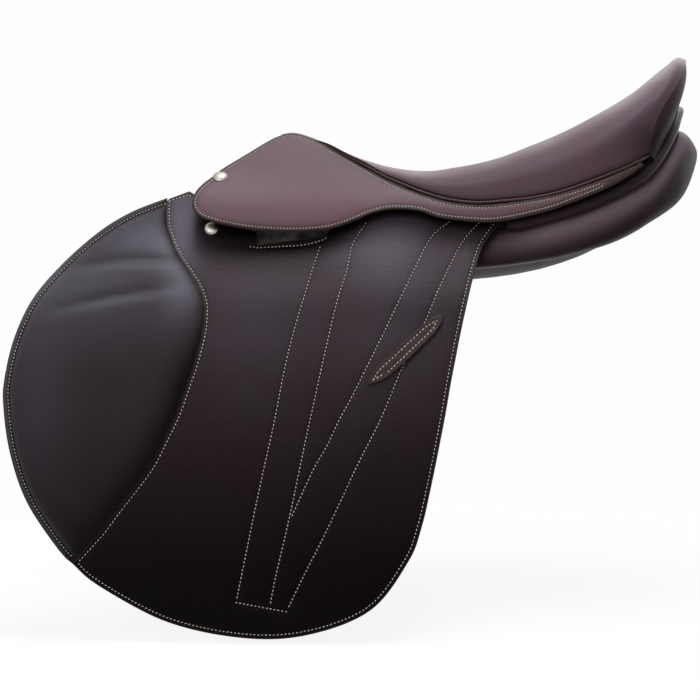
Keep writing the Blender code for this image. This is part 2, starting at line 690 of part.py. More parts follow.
def make_tree_head():
    """The head of the tree: a wooden arch whose two points run down and forward."""
    run, lengths = arch_path()
    whole = lengths[-1]
    rows = [-i for i in range(len(run) - 1, 0, -1)] + list(range(len(run)))

    def spot(column, row, depth):
        i = abs(row)
        side = -1 if row < 0 else 1
        ahead = run[min(i + 1, len(run) - 1)] - run[max(i - 1, 0)]
        if i == 0:
            ahead = Vector((1, 0))
        square = Vector((ahead.y, -ahead.x)).normalized()
        if square.y > 0:
            square = -square
        point = run[i] + square * depth
        along = lengths[i] * HEAD_WHOLE / whole
        x = head_front(along) + (head_rear(along) - head_front(along)) * column
        fall = max(0.0, 1 - lengths[i] / HEAD_CROWN)
        return Vector((x, side * point.x, point.y + (seat_line(x) - seat_line(HEAD_TOP_X)) * fall))

    grid_form("tree_head", even(0, 1, 4), rows, lambda c, r: spot(c, r, 0),
              lambda c, r: spot(c, r, HEAD_WOOD), wood)
    middle = [row for row in rows if abs(row) <= 6]
    under = HEAD_WOOD + LAYER_GAP
    grid_form("head_plate", even(0.2, 0.8, 2), middle, lambda c, r: spot(c, r, under),
              lambda c, r: spot(c, r, under + PLATE_STEEL), steel)

    def facing(column, row, back):
        along = lengths[abs(row)] * HEAD_WHOLE / whole
        inner = spot(0, row, HEAD_WOOD + FACING_LIP)
        outer = Vector((inner.x, math.copysign(facing_out(along), row), facing_top(along)))
        point = inner.lerp(outer, column)
        point.x = head_front(along) - SEAM_GAP - (0 if back else FACING_LEATHER)
        return point

    front = [row for row in rows if lengths[abs(row)] * HEAD_WHOLE / whole <= FACING_END]
    grid_form("pommel_facing", even(0, 1, 3), front, lambda c, r: facing(c, r, False),
              lambda c, r: facing(c, r, True), leather_soft)


def make_tree():
    """The rest of the tree: two side bars, the cantle, its plate and the webs.

    The side bars run from just behind one line of the seat's net to another.
    """
    first = 2.75
    last = 13
    depth = COVER_LEATHER + 2 * LAYER_GAP + SEAT_FOAM
    top = seat_layer(depth)
    low = seat_layer(depth + TREE_WOOD)
    bar = [first / SEAT_LENGTHS, *steps(3, last - 1, SEAT_LENGTHS), last / SEAT_LENGTHS - 0.0015]
    for sign, word in SIDES:
        rows = [sign * row for row in steps(2, 4, SEAT_WIDTHS // 2)]
        grid_form(f"{word}_tree_bar", bar, rows, top, low, wood)
    rows = steps(-6, 6, SEAT_WIDTHS // 2)
    grid_form("tree_cantle", steps(last, SEAT_LENGTHS - 2, SEAT_LENGTHS), rows, top, low, wood)
    grid_form("cantle_plate", steps(last + 1, SEAT_LENGTHS - 3, SEAT_LENGTHS),
              steps(-3, 3, SEAT_WIDTHS // 2), seat_layer(depth + TREE_WOOD + LAYER_GAP),
              seat_layer(depth + TREE_WOOD + LAYER_GAP + PLATE_STEEL), steel)
    grid_form("seat_web", bar, steps(-1, 1, SEAT_WIDTHS // 2), top, seat_layer(depth + WEB_CLOTH), cloth)


def make_seat():
    """The foam and its leather cover, with the piping along its edge."""
    columns = [*steps(0, SEAT_LENGTHS - 1, SEAT_LENGTHS), 1 - 0.5 / SEAT_LENGTHS, 1]
    half = SEAT_WIDTHS // 2
    grid_form("seat_cover", columns, steps(-half, half, half), cover_layer(0), cover_layer(COVER_LEATHER),
              leather_seat)
    top = seat_layer(COVER_LEATHER + LAYER_GAP)
    low = seat_layer(COVER_LEATHER + LAYER_GAP + SEAT_FOAM)
    grid_form("seat_foam", steps(0, SEAT_LENGTHS - 1, SEAT_LENGTHS), steps(2 - half, half - 2, half),
              top, low, foam)
    for side, word in SIDES:
        line = [welt_point(u, side) for u in columns]
        tube(f"{word}_seat_welt", line, WELT_RADIUS, leather_welt)


# The roll behind the cantle, from the centre plane down the right side
ROLL_ROUTE = ((226, 0, 149), (224.5, 24, 147), (219, 46, 140), (207, 74, 119), (190, 97, 92.5),
              (172, 109, 74), (145, 115.5, 59.5), (113, 119, 47.5), (81, 116.5, 39.5), (58, 113, 35.5))
roll_x = curve(*[(y, x) for x, y, z in ROLL_ROUTE[:5]])
roll_z = curve(*[(y, z) for x, y, z in ROLL_ROUTE[:5]])
CANTLE_BACK_FOOT = 84.0
CANTLE_BACK_LIP = 1.7
CANTLE_BACK_HOLLOW = 4.0


def make_rear():
    """The roll that edges the panel behind, and the leather that closes the cantle's back."""
    mirrored = [(x, -y, z) for x, y, z in ROLL_ROUTE[:0:-1]]
    tube("rear_roll", smooth_run([*mirrored, *ROLL_ROUTE], step=16), ROLL_RADIUS, leather_soft)
    rim = seat_layer(COVER_LEATHER + LAYER_GAP)
    half = SEAT_WIDTHS // 2
    last = 5

    def back(depth):
        def at(column, row):
            head = rim(1, row)
            out = abs(row) * half / last * CANTLE_BACK_FOOT
            side = math.copysign(1, row)
            slope = roll_z(out + 1) - roll_z(out) if out else 0.0
            clear = Vector((0, -slope * side, 1)).normalized() * (ROLL_RADIUS + 0.6)
            foot = Vector((roll_x(out) - 3, out * side, roll_z(out))) + clear
            facing = Vector((1, 0.008 * head.y, 0)).normalized()
            point = (head - facing * CANTLE_BACK_LIP - Vector((0, 0, 1))).lerp(foot, column)
            return point - facing * (depth + CANTLE_BACK_HOLLOW * math.sin(math.pi * column))

        return at

    grid_form("cantle_back", even(0, 1, 4), steps(-last, last, half), back(0), back(COVER_LEATHER),
              leather_soft)


# Panel: corner heights and widths of its cross-section along x
panel_in = curve((-212, 38), (-150, 34), (-60, 30), (163, 30), (211, 26), (240, 24))
panel_out = curve((-212, 74), (-165, 76), (-120, 80), (-90, 96), (-60, 106), (0, 109), (53, 112),
                  (107, 116), (150, 111), (193, 95), (211, 81), (230, 60), (240, 48))
panel_out_low = curve((-212, -34), (-150, -22), (-60, -12), (53, -4), (107, 6), (134, 13), (163, 24),
                      (193, 42), (211, 56), (230, 82), (240, 104))
panel_out_top = curve((-212, 16), (-60, 20), (53, 26), (107, 39), (163, 60), (193, 82), (211, 101),
                      (230, 124), (240, 124))
panel_in_low = curve((-212, 34), (-60, 26), (20, 22), (107, 32), (163, 48), (193, 64), (211, 78),
                     (230, 98), (240, 114))
panel_in_top = curve((-212, 60), (-150, 82), (-100, 89), (-60, 85.5), (0, 79.5), (53, 83.5),
                     (107, 98), (163, 119), (193, 131), (211, 138), (230, 140), (240, 134))
PANEL_FRONT = -210.0
PANEL_REAR = 239.0
PANEL_SQUARE = 2.8
PANEL_END = 26.0


def make_panel(side, word):
    """One stuffed panel, round at its ends, with the channel of the gullet beside it."""
    length = PANEL_REAR - PANEL_FRONT

    def at(column, row, up):
        x = PANEL_FRONT + length * (0.5 - 0.5 * math.cos(math.pi * column))
        near_end = min(x - PANEL_FRONT, PANEL_REAR - x)
        full = math.sqrt(1 - (1 - min(near_end / PANEL_END, 1)) ** 2) * 0.92 + 0.08
        angle = math.pi * row
        ca, sa = math.cos(angle), math.sin(angle)
        a = math.copysign(abs(ca) ** (2 / PANEL_SQUARE), ca)
        b = abs(sa) ** (2 / PANEL_SQUARE) * (1 if up else -1)
        a = 0.5 + 0.5 * a * full
        b = 0.5 + 0.5 * b * full
        y = panel_in(x) + (panel_out(x) - panel_in(x)) * a
        low = panel_in_low(x) + (panel_out_low(x) - panel_in_low(x)) * a
        top = panel_in_top(x) + (panel_out_top(x) - panel_in_top(x)) * a
        return Vector((x, side * y, low + (top - low) * b))

    grid_form(f"{word}_panel", even(0, 1, 20), even(0, 1, 10), lambda c, r: at(c, r, True),
              lambda c, r: at(c, r, False), leather_soft)


def make_point_pocket(side, word):
    """The leather pocket that holds the end of the tree's point."""
    point = curve((30, POINT_OUT + 2), (5, POINT_OUT + 4.5), (-12, POINT_OUT + 6.1))

    def face(x, z):
        return point(z) + LAYER_GAP + POCKET_LEATHER

    side_sheet(f"{word}_point_pocket", side, plate([Vector(point) for point in POINT_POCKET], cell=15),
               face, below(face, POCKET_LEATHER), leather_soft)


for leftover in list(bpy.data.objects):
    bpy.data.objects.remove(leftover)

saddle = bpy.data.collections.new("saddle")
bpy.context.scene.collection.children.link(saddle)

leather_seat = material("seat leather", (0.085, 0.055, 0.06), 0.42)
leather_dark = material("flap leather", (0.035, 0.022, 0.026), 0.5)
leather_soft = material("soft leather", (0.045, 0.028, 0.03), 0.55)
leather_welt = material("welt leather", (0.02, 0.012, 0.014), 0.5)
foam = material("latex foam", (0.75, 0.7, 0.5), 0.9)
wood = material("beech laminate", (0.5, 0.33, 0.18), 0.6)
cloth = material("linen web", (0.35, 0.32, 0.26), 0.9)
steel = material("bar steel", (0.5, 0.5, 0.5), 0.35, 1.0)
silver = material("nickel", (0.7, 0.69, 0.66), 0.25, 1.0)

SIDES = ((-1, "left"), (1, "right"))

make_seat()
make_tree()
make_tree_head()
make_rear()
for side, word in SIDES:
    (x0, z0), _ = FLAP_AXIS
    flap_joint = joint_empty(f"{word}_flap_hinge", (x0, side * (flap_face(x0, z0) + FLAP_AXIS_PROUD), z0))
    (x0, z0), _ = SKIRT_AXIS
    skirt_joint = joint_empty(f"{word}_skirt_hinge",
                              (x0, side * (skirt_face(x0, z0) + SKIRT_AXIS_PROUD), z0))
    catch_joint = joint_empty(f"{word}_catch_hinge",
                              (BAR_REAR + SEAM_GAP / 2, side * (BAR_IN + BAR_OUT) / 2, BAR_HIGH))
    strap_x = sum(STRAP_CENTRES) / 2
    strap_joint = joint_empty(f"{word}_strap_pivot", (strap_x, side * strap_face(strap_x, 0), 0))
    make_flap(side, word, flap_joint)
    make_skirt(side, word, skirt_joint)
    make_sweat_flap(side, word)
    make_bar(side, word, catch_joint)
    make_straps(side, word, strap_joint)
    make_girth_web(side, word)
    make_panel(side, word)
    make_point_pocket(side, word)
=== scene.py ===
# %% [markdown]
# # A close-contact jumping saddle
# The solids of the saddle come from the CAD frame: every node there has its true size and place.
# This lesson dresses them. The stiff hidden parts keep their CAD mesh and only get a finish, and all
# the leather that shows is made again as what it is: cut sheets with rounded, painted edges, stitched
# seams that sink into the hide, and stuffed pads.

import bisect
import math

import bmesh
import bpy
from mathutils import Matrix, Vector, kdtree, noise
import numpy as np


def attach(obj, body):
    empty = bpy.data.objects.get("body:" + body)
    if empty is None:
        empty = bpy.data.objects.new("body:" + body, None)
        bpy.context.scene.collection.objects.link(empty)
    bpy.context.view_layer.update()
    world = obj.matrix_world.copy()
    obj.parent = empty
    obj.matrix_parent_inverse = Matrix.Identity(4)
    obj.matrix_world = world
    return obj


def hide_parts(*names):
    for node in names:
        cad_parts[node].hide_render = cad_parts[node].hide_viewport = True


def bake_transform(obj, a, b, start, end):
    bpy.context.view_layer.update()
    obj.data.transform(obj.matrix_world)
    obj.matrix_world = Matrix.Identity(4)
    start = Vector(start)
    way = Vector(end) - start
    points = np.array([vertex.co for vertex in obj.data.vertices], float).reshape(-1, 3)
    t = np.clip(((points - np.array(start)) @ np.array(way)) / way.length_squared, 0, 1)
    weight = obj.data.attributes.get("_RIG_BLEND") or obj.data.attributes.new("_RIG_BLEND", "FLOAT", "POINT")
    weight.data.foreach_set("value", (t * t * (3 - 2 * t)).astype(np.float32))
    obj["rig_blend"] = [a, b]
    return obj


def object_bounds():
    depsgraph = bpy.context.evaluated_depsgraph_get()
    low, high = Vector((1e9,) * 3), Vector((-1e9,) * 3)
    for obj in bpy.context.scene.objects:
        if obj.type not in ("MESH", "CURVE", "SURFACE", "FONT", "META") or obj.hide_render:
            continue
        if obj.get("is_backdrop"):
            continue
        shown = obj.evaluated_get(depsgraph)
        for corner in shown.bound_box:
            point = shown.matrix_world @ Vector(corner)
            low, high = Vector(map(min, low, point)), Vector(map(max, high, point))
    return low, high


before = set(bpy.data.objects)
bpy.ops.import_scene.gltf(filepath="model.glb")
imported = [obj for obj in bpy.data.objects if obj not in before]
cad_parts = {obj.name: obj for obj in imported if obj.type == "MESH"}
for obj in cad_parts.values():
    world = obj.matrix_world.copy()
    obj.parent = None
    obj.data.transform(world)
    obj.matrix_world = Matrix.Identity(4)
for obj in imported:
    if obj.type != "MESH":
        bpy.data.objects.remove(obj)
cad_low, cad_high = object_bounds()
print("CAD box", [round(v, 4) for v in (*cad_low, *cad_high)])

# %% [markdown]
# ## Camera, floor and light
# The photo looks square at the near side, from about 1.3 m away and a little below the seat. A
# saddle is mostly dark leather, and what makes it read is the soft light on whatever faces upwards, so
# the main light is a panel right overhead, which leaves the flap dark under the skirt. A wider and
# weaker panel from the upper left opens the near side, and one behind does the same for the back.

# %% Camera
scene = bpy.context.scene
scene.view_settings.view_transform = "Standard"

camera_data = bpy.data.cameras.new("camera")
camera_data.lens = 71.9
camera_data.sensor_width = 36.0
camera = bpy.data.objects.new("camera", camera_data)
camera.location = (-0.0744, -1.3, -0.06975)
camera.rotation_euler = (math.pi / 2, 0, 0)
scene.collection.objects.link(camera)
scene.camera = camera


# %% Lamps
def lamp(name, place, target, size, power, colour=(1, 1, 1)):
    """A square soft light that faces a point."""
    data = bpy.data.lights.new(name, "AREA")
    data.shape = "SQUARE"
    data.size = size
    data.energy = power
    data.color = colour
    made = bpy.data.objects.new(name, data)
    made.location = place
    made.rotation_euler = (Vector(target) - Vector(place)).to_track_quat("-Z", "Y").to_euler()
    scene.collection.objects.link(made)


lamp("overhead panel", (0.0, -0.35, 1.5), (-0.05, 0.0, 0.0), 0.8, 17, (0.98, 0.97, 1.0))
lamp("front panel", (-0.7, -1.7, 0.9), (-0.05, 0.0, -0.05), 1.3, 16, (1.0, 0.98, 0.98))
lamp("rear panel", (0.5, 1.15, 1.35), (0.0, 0.0, 0.0), 1.2, 8.5, (1.0, 0.96, 0.94))
print("lamps", len(bpy.data.lights))

# %% [markdown]
# Every shader in this lesson is built with one tool: it adds a node, sets it, and feeds each input
# with a value or with another node's output.


# %% Shader nodes
def node(net, kind, inputs=None, out=0, **settings):
    """Adds a shader node and gives the output that the next node reads."""
    made = net.nodes.new("ShaderNode" + kind)
    for name, value in settings.items():
        setattr(made, name, value)
    for place, value in (inputs or {}).items():
        if isinstance(value, bpy.types.NodeSocket):
            net.links.new(value, made.inputs[place])
        else:
            made.inputs[place].default_value = value
    return made.outputs[out] if made.outputs else None


# %% [markdown]
# The floor lies just under the flaps. It is a matt white that takes the saddle's shadow. Rays that
# look at it straight, or by way of polished metal, see a plain white, and near the saddle a share of
# the matt floor under it, which carries the shadow. Far away the floor is as white as the world, so
# that no horizon shows.

# %% Floor and world
FLOOR_Z = cad_low.z - 0.004
WHITE = 0.985
FADE_FROM, FADE_TO = 0.45, 1.15


def looked_at(net):
    """1 for rays from the camera and from polished or clear surfaces, 0 for the light they scatter."""
    path = node(net, "LightPath").node.outputs
    total = path["Is Camera Ray"]
    for name in ("Is Glossy Ray", "Is Transmission Ray"):
        total = node(net, "Math", {0: total, 1: path[name]}, operation="MAXIMUM")
    return total


floor_shape = bmesh.new()
bmesh.ops.create_grid(floor_shape, x_segments=8, y_segments=8, size=12.0)
bmesh.ops.translate(floor_shape, vec=(0, 0, FLOOR_Z), verts=floor_shape.verts)
floor_mesh = bpy.data.meshes.new("studio_floor")
floor_shape.to_mesh(floor_mesh)
floor_shape.free()
floor = bpy.data.objects.new("studio_floor", floor_mesh)
scene.collection.objects.link(floor)
floor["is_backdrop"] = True

floor_paint = bpy.data.materials.new("floor paint")
floor_paint.use_nodes = True
net = floor_paint.node_tree
net.nodes.clear()
away = node(net, "VectorMath", {0: node(net, "TexCoord", out="Object")}, "Value", operation="LENGTH")
plain_share, brightness = (
    node(net, "MapRange", {"Value": away, "From Min": FADE_FROM, "From Max": FADE_TO, "To Min": near,
                           "To Max": far}, interpolation_type="SMOOTHSTEP")
    for near, far in ((0.76, 1.0), (1.18, WHITE)))
share = node(net, "Math", {0: looked_at(net), 1: plain_share}, operation="MULTIPLY")
matt = node(net, "BsdfDiffuse", {"Color": (0.6, 0.6, 0.6, 1)})
glow = node(net, "Emission", {"Color": (1, 1, 1, 1), "Strength": brightness})
node(net, "OutputMaterial", {"Surface": node(net, "MixShader", {0: share, 1: matt, 2: glow})})
floor.data.materials.append(floor_paint)

world = bpy.data.worlds.new("studio")
world.use_nodes = True
scene.world = world
net = world.node_tree
net.nodes.clear()
room = node(net, "Background", {"Color": (0.95, 0.96, 1.0, 1), "Strength": 0.05})
seen = node(net, "Background", {"Color": (WHITE, WHITE, WHITE, 1)})
node(net, "OutputWorld", {"Surface": node(net, "MixShader", {0: looked_at(net), 1: room, 2: seen})})
print("floor height", round(FLOOR_Z, 4))

# %% [markdown]
# ## The forms of the saddle
# The dressed leather has to lie exactly where the CAD solids are, so the lesson repeats the few
# curves that shape them: how far out the flap and the skirt lie at each place of the side view, the
# seat's outline and its piping. All of them are in millimetres, and a mesh is scaled when it is done.

# %% Curves
MM = 0.001
SIDES = ((-1, "left"), (1, "right"))


def clamp(value):
    return min(max(value, 0.0), 1.0)


def curve(*knots):
    """A smooth line through (place, value) knots, straight beyond its ends."""
    knots = sorted(knots)
    places = [knot[0] for knot in knots]
    values = [knot[1] for knot in knots]
    last = len(knots) - 1
    slopes = []
    for i in range(last + 1):
        below = max(i - 1, 0)
        above = min(i + 1, last)
        if below == i or above == i:
            slopes.append((values[above] - values[below]) / (places[above] - places[below]))
            continue
        span_in = places[i] - places[below]
        span_out = places[above] - places[i]
        rise_in = (values[i] - values[below]) / span_in
        rise_out = (values[above] - values[i]) / span_out
        slopes.append((rise_in * span_out + rise_out * span_in) / (span_in + span_out))

    def at(place):
        if place <= places[0]:
            return values[0] + slopes[0] * (place - places[0])
        if place >= places[last]:
            return values[last] + slopes[last] * (place - places[last])
        i = bisect.bisect_right(places, place) - 1
        span = places[i + 1] - places[i]
        t = (place - places[i]) / span
        return (values[i] * (1 + 2 * t) * (1 - t) ** 2 + values[i + 1] * t * t * (3 - 2 * t)
                + span * slopes[i] * t * (1 - t) ** 2 - span * slopes[i + 1] * t * t * (1 - t))

    return at


flap_drop = curve((66, 90), (45, 97.5), (20, 107), (0, 121), (-25, 139), (-60, 153),
                  (-120, 165), (-200, 176), (-300, 186))
skirt_rise = curve((-200, 0), (-30, 0), (20, 0), (52, 3), (93, 12), (135, 28), (171, 45), (180, 50))
skirt_widen = curve((-200, 0), (-30, 0), (10, 2.5), (52, 6), (93, 9), (135, 7), (171, -3), (180, -7))
welt_line = curve((-131, 125), (-110, 120), (-93, 110), (-76, 98), (-61, 89), (-46, 79), (-32, 72),
                  (-15, 64), (10, 56), (35, 53), (52, 54), (93, 59), (135, 73), (171, 89), (180, 94))
seat_line = curve((-138, 129), (-128, 130.5), (-113, 127), (-98, 120.5), (-79, 109), (-55, 99.5),
                  (-26, 93), (2, 92), (32, 98), (61, 107), (91, 120), (122, 134), (153, 150),
                  (185, 168), (217, 191), (229, 198), (236, 195))


def flare(x):
    """How much further out the leather lies towards the rear."""
    return 0.05 * (x + 230)


def flap_face(x, z):
    return flap_drop(z) + flare(x)


def skirt_face(x, z):
    down = min(max((124 + skirt_rise(x) - z) / 94, -0.5), 1.0)
    return 45 + 78 * math.sin(math.pi / 2 * down) + skirt_widen(x)


# %% [markdown]
# Two numbers place every point of the seat, `u` along it and `v` across it, so that the cover, the
# foam and the web can all use one form, each at its own depth.

# %% Seat forms
POMMEL_X, CANTLE_X = -138.0, 236.0
WELT_FRONT_X, WELT_REAR_X = -131.0, 180.0
COVER_LEATHER = 2.5
DISH_FROM, DISH_DEPTH = 20, 8


def seat_point(u, v):
    """The seat's outer surface: u from pommel to cantle, v from the left welt to the right."""
    middle_x = POMMEL_X + (CANTLE_X - POMMEL_X) * u
    edge_x = WELT_FRONT_X + (WELT_REAR_X - WELT_FRONT_X) * u
    wide = math.sin(math.pi / 2 * min(abs(v), 1.0))
    sweep = (26 * wide ** 1.2 + 30 * wide ** 8) / 56
    x = middle_x + (edge_x - middle_x) * sweep
    y = math.copysign(skirt_face(edge_x, welt_line(edge_x)) * wide, v)
    low = welt_line(edge_x)
    rise = (1 - wide ** 2.4) ** (1 / 2.4)
    dish = 0.0
    if middle_x > DISH_FROM:
        along = (middle_x - DISH_FROM) / (CANTLE_X - DISH_FROM)
        dish = DISH_DEPTH * math.sin(math.pi * along) * (1 - wide * wide) ** 2
    return Vector((x, y, low + (seat_line(middle_x) - low) * rise - dish))


def seat_normal(u, v):
    step = 0.01
    v = max(min(v, 1 - step), step - 1)
    along = seat_point(min(u + step, 1), v) - seat_point(max(u - step, 0), v)
    across = seat_point(u, v + step) - seat_point(u, v - step)
    return along.cross(across).normalized()


def duck(x):
    """1 where the seat's edge ducks behind the crown of the skirt, 0 from the waist back."""
    part = clamp((-84 - x) / 30)
    return part * part * (3 - 2 * part)


def tucked(point, v):
    """A point of the seat, lowered at the pommel's shoulders, where the skirt's crown covers it."""
    shoulder = clamp((abs(v) - 0.2) / 0.5)
    point.z -= 3.6 * duck(point.x) * shoulder * (2 - shoulder)
    return point


def welt_point(u, side):
    """The middle of the piping, which runs over the skirt."""
    x = WELT_FRONT_X + (WELT_REAR_X - WELT_FRONT_X) * u
    z = welt_line(x) + 1.7 - 5.4 * duck(x)
    return Vector((x, side * (skirt_face(x, z) - 1.0 - 3.4 * duck(x)), z))


print("seat front and rear", [round(v, 1) for v in (*seat_point(0, 0), *seat_point(1, 0))])

# %% [markdown]
# ## Tools of the trade
# A saddler works with outlines, and so does this lesson: a run of points is a cut or a seam, and it
# can be moved sideways to lie inside an edge.


# %% Runs of points
def smooth_run(points, step=14.0):
    """Points along a smooth line through the given ones, the ends included."""
    path = []
    for i in range(len(points) - 1):
        before = Vector(points[max(i - 1, 0)])
        start = Vector(points[i])
        end = Vector(points[i + 1])
        after = Vector(points[min(i + 2, len(points) - 1)])
        parts = max(1, round((end - start).length / step))
        for k in range(parts):
            t = k / parts
            path.append(0.5 * (2 * start + (end - before) * t
                               + (2 * before - 5 * start + 4 * end - after) * t * t
                               + (3 * start - before - 3 * end + after) * t ** 3))
    path.append(Vector(points[-1]))
    return path


def beside(run, distance):
    """A run of points moved sideways, to the left of its direction."""
    moved = []
    for i, point in enumerate(run):
        ahead = (run[min(i + 1, len(run) - 1)] - run[max(i - 1, 0)]).normalized()
        moved.append(point + Vector((-ahead.y, ahead.x)) * distance)
    return moved


def walk(run, pitch):
    """(point, direction) at equal steps along a run."""
    found = []
    left = 0.0
    for a, b in zip(run, run[1:]):
        length = (b - a).length
        while left <= length and length > 0:
            found.append((a.lerp(b, left / length), (b - a) / length))
            left += pitch
        left -= length
    return found


# %% [markdown]
# A closed outline is a ring that doesn't repeat its first point. Moved in, it is the line that a
# saddler scribes beside a cut edge to sew along. The distance to a run says where leather sinks into
# a seam or swells over a pad.


# %% Closed outlines and distances
def vectors(points):
    return [Vector(point) for point in points]


def smooth_ring(points, step):
    """A smooth closed outline through points, as a ring that doesn't repeat its first point."""
    points = vectors(points)
    run = smooth_run([*points[-2:], *points, *points[:3]], step)
    first, last = [i for i, spot in enumerate(run) if (spot - points[0]).length < 1e-3]
    return run[first:last]


def even_ring(points, step):
    """A closed outline with points at about equal steps."""
    return [point for point, _ in walk(vectors((*points, points[0])), step)][:-1]


def moved_in(ring, distance, sharpest=0.5):
    """A closed outline moved inwards, or outwards if the distance is negative, with mitred corners."""
    area = sum(a.x * b.y - b.x * a.y for a, b in zip(ring, ring[1:] + ring[:1]))
    inward = math.copysign(1, area) * distance
    moved = []
    for i, point in enumerate(ring):
        first = (point - ring[i - 1]).normalized()
        second = (ring[(i + 1) % len(ring)] - point).normalized()
        square = Vector((-first.y - second.y, first.x + second.x)).normalized()
        reach = 1 / max(sharpest, square.dot(Vector((-first.y, first.x))))
        moved.append(point + square * inward * reach)
    return moved


def shrunk(points, distance):
    """A closed outline moved in, as a run that ends where it starts."""
    inner = moved_in(vectors(points), distance)
    return [*inner, inner[0]]


def nearness(*runs):
    """A function that gives how far a place (x, z) is from the nearest run."""
    spots = [point for run in runs for point, _ in walk(run, 0.6)]
    finder = kdtree.KDTree(len(spots))
    for i, spot in enumerate(spots):
        finder.insert((spot.x, 0, spot.y), i)
    finder.balance()
    return lambda x, z: finder.find((x, 0, z))[2]


def bell(distance, width):
    """1 at the middle, fading smoothly with distance."""
    return math.exp(-(distance / width) ** 2)


def swell(depth, height, roll, rim=0.0):
    """The rise of a padded surface at a depth from its edge, round like a quarter circle."""
    part = clamp((depth - rim) / roll)
    return height * math.sqrt(1 - (1 - part) ** 2)


# %% [markdown]
# Every piece ends the same way: its mesh is scaled to metres, shaded smooth, given its finish, and
# tied to the CAD body that carries it. The `rim` attribute marks cut edges, so that a finish can
# paint them.


# %% Finishing a piece
def piece(name, shape, finish, body=None, stands_for=(), sharp=38):
    bmesh.ops.recalc_face_normals(shape, faces=shape.faces)
    bmesh.ops.scale(shape, vec=(MM, MM, MM), verts=shape.verts)
    mesh = bpy.data.meshes.new(name)
    shape.to_mesh(mesh)
    shape.free()
    mesh.materials.append(finish)
    mesh.shade_smooth()
    mesh.set_sharp_from_angle(angle=math.radians(sharp))
    made = bpy.data.objects.new(name, mesh)
    scene.collection.objects.link(made)
    if body:
        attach(made, body)
    if stands_for:
        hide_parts(*stands_for)
    print(name, len(mesh.polygons))
    return made


def mark(made, name, at):
    """Marks each place (x, z) of a piece from 0 to 1, for its finish to read."""
    marks = made.data.attributes.new(name, "FLOAT", "POINT")
    values = [clamp(at(vert.co.x / MM, vert.co.z / MM)) for vert in made.data.vertices]
    marks.data.foreach_set("value", values)


def patch_of(x, z, middle, wide, high):
    """1 at the middle of a soft round patch, fading outwards."""
    return math.exp(-((x - middle[0]) / wide) ** 2 - ((z - middle[1]) / high) ** 2)


# %% [markdown]
# A sheet of leather is cut flat and then bent. The outline is filled a little inside its edge, cut
# into small squares so that it can bend, and cut finer near its seams.


# %% Cutting leather
def new_verts(made):
    """The vertices that an operator has added."""
    return [item for item in made["geom"] if isinstance(item, bmesh.types.BMVert)]


def open_edges(shape):
    return [edge for edge in shape.edges if len(edge.link_faces) == 1]


def split_corners(shape):
    bmesh.ops.triangulate(shape, faces=[face for face in shape.faces if len(face.verts) > 4])


def plate(outline, holes, cell, inset):
    """A flat filled outline in the (x, z) plane, cut into squares."""
    shape = bmesh.new()
    edges = []
    for k, ring in enumerate((outline, *holes)):
        inner = moved_in(ring, -inset if k else inset, 0.6)
        corners = [shape.verts.new((place.x, 0, place.y)) for place in inner]
        edges += [shape.edges.new((corners[i - 1], corner)) for i, corner in enumerate(corners)]
    bmesh.ops.triangle_fill(shape, use_beauty=True, use_dissolve=True, edges=edges, normal=(0, 1, 0))
    for axis in (0, 2):
        low = min(vert.co[axis] for vert in shape.verts)
        high = max(vert.co[axis] for vert in shape.verts)
        for k in range(math.ceil(low / cell), math.floor(high / cell) + 1):
            place = [0, 0, 0]
            normal = [0, 0, 0]
            place[axis] = k * cell
            normal[axis] = 1
            bmesh.ops.bisect_plane(shape, geom=shape.verts[:] + shape.edges[:] + shape.faces[:],
                                   dist=cell / 20, plane_co=place, plane_no=normal)
    bmesh.ops.remove_doubles(shape, verts=shape.verts, dist=0.3)
    split_corners(shape)
    return shape


def cut_finer(shape, near, reaches):
    """Halves the edges near the seams, once for each reach."""
    for reach in reaches:
        edges = [edge for edge in shape.edges
                 if near(*((edge.verts[0].co + edge.verts[1].co) / 2).xz) < reach]
        bmesh.ops.subdivide_edges(shape, edges=edges, cuts=1, use_grid_fill=True)
        split_corners(shape)


# %% [markdown]
# A cut edge is rounded with a tool, and painted. Three narrow rings round the sheet make that edge,
# and the `drop` layer says how far each ring falls away, so a bent sheet keeps its round edge.


# %% Edges and bending
def round_rim(shape, inset):
    """Adds the three rings of the rounded edge, with how far each falls away."""
    drop = shape.verts.layers.float.new("drop")
    rim = shape.verts.layers.float.new("rim")
    done = 0.0
    for part, paint in ((0.5, 0.85), (0.86, 1.0), (1.0, 1.0)):
        border = open_edges(shape)
        outward = {}
        for edge in border:
            a, b = edge.verts
            along = (b.co - a.co).normalized()
            square = Vector((-along.z, 0, along.x))
            if square.dot(edge.link_faces[0].calc_center_median() - a.co) > 0:
                square = -square
            for vert in (a, b):
                outward.setdefault(vert, []).append(square)
        for vert in new_verts(bmesh.ops.extrude_edge_only(shape, edges=border)):
            source = min((edge.other_vert(vert) for edge in vert.link_edges),
                         key=lambda other: (other.co - vert.co).length)
            squares = outward[source]
            middle = sum(squares, Vector()).normalized()
            reach = 1 / max(0.6, middle.dot(squares[0]))
            vert.co += middle * (part - done) * inset * reach
            vert[drop] = inset * (1 - math.sqrt(1 - part * part))
            vert[rim] = paint
        done = part
    return shape


def cut_blank(outline, holes=(), cell=6.0, inset=1.3, near=None, reaches=()):
    """Cuts one sheet of leather, finer near its seams, and rounds its edge."""
    shape = plate(outline, holes, cell, inset)
    cut_finer(shape, near, reaches)
    return round_rim(shape, inset)


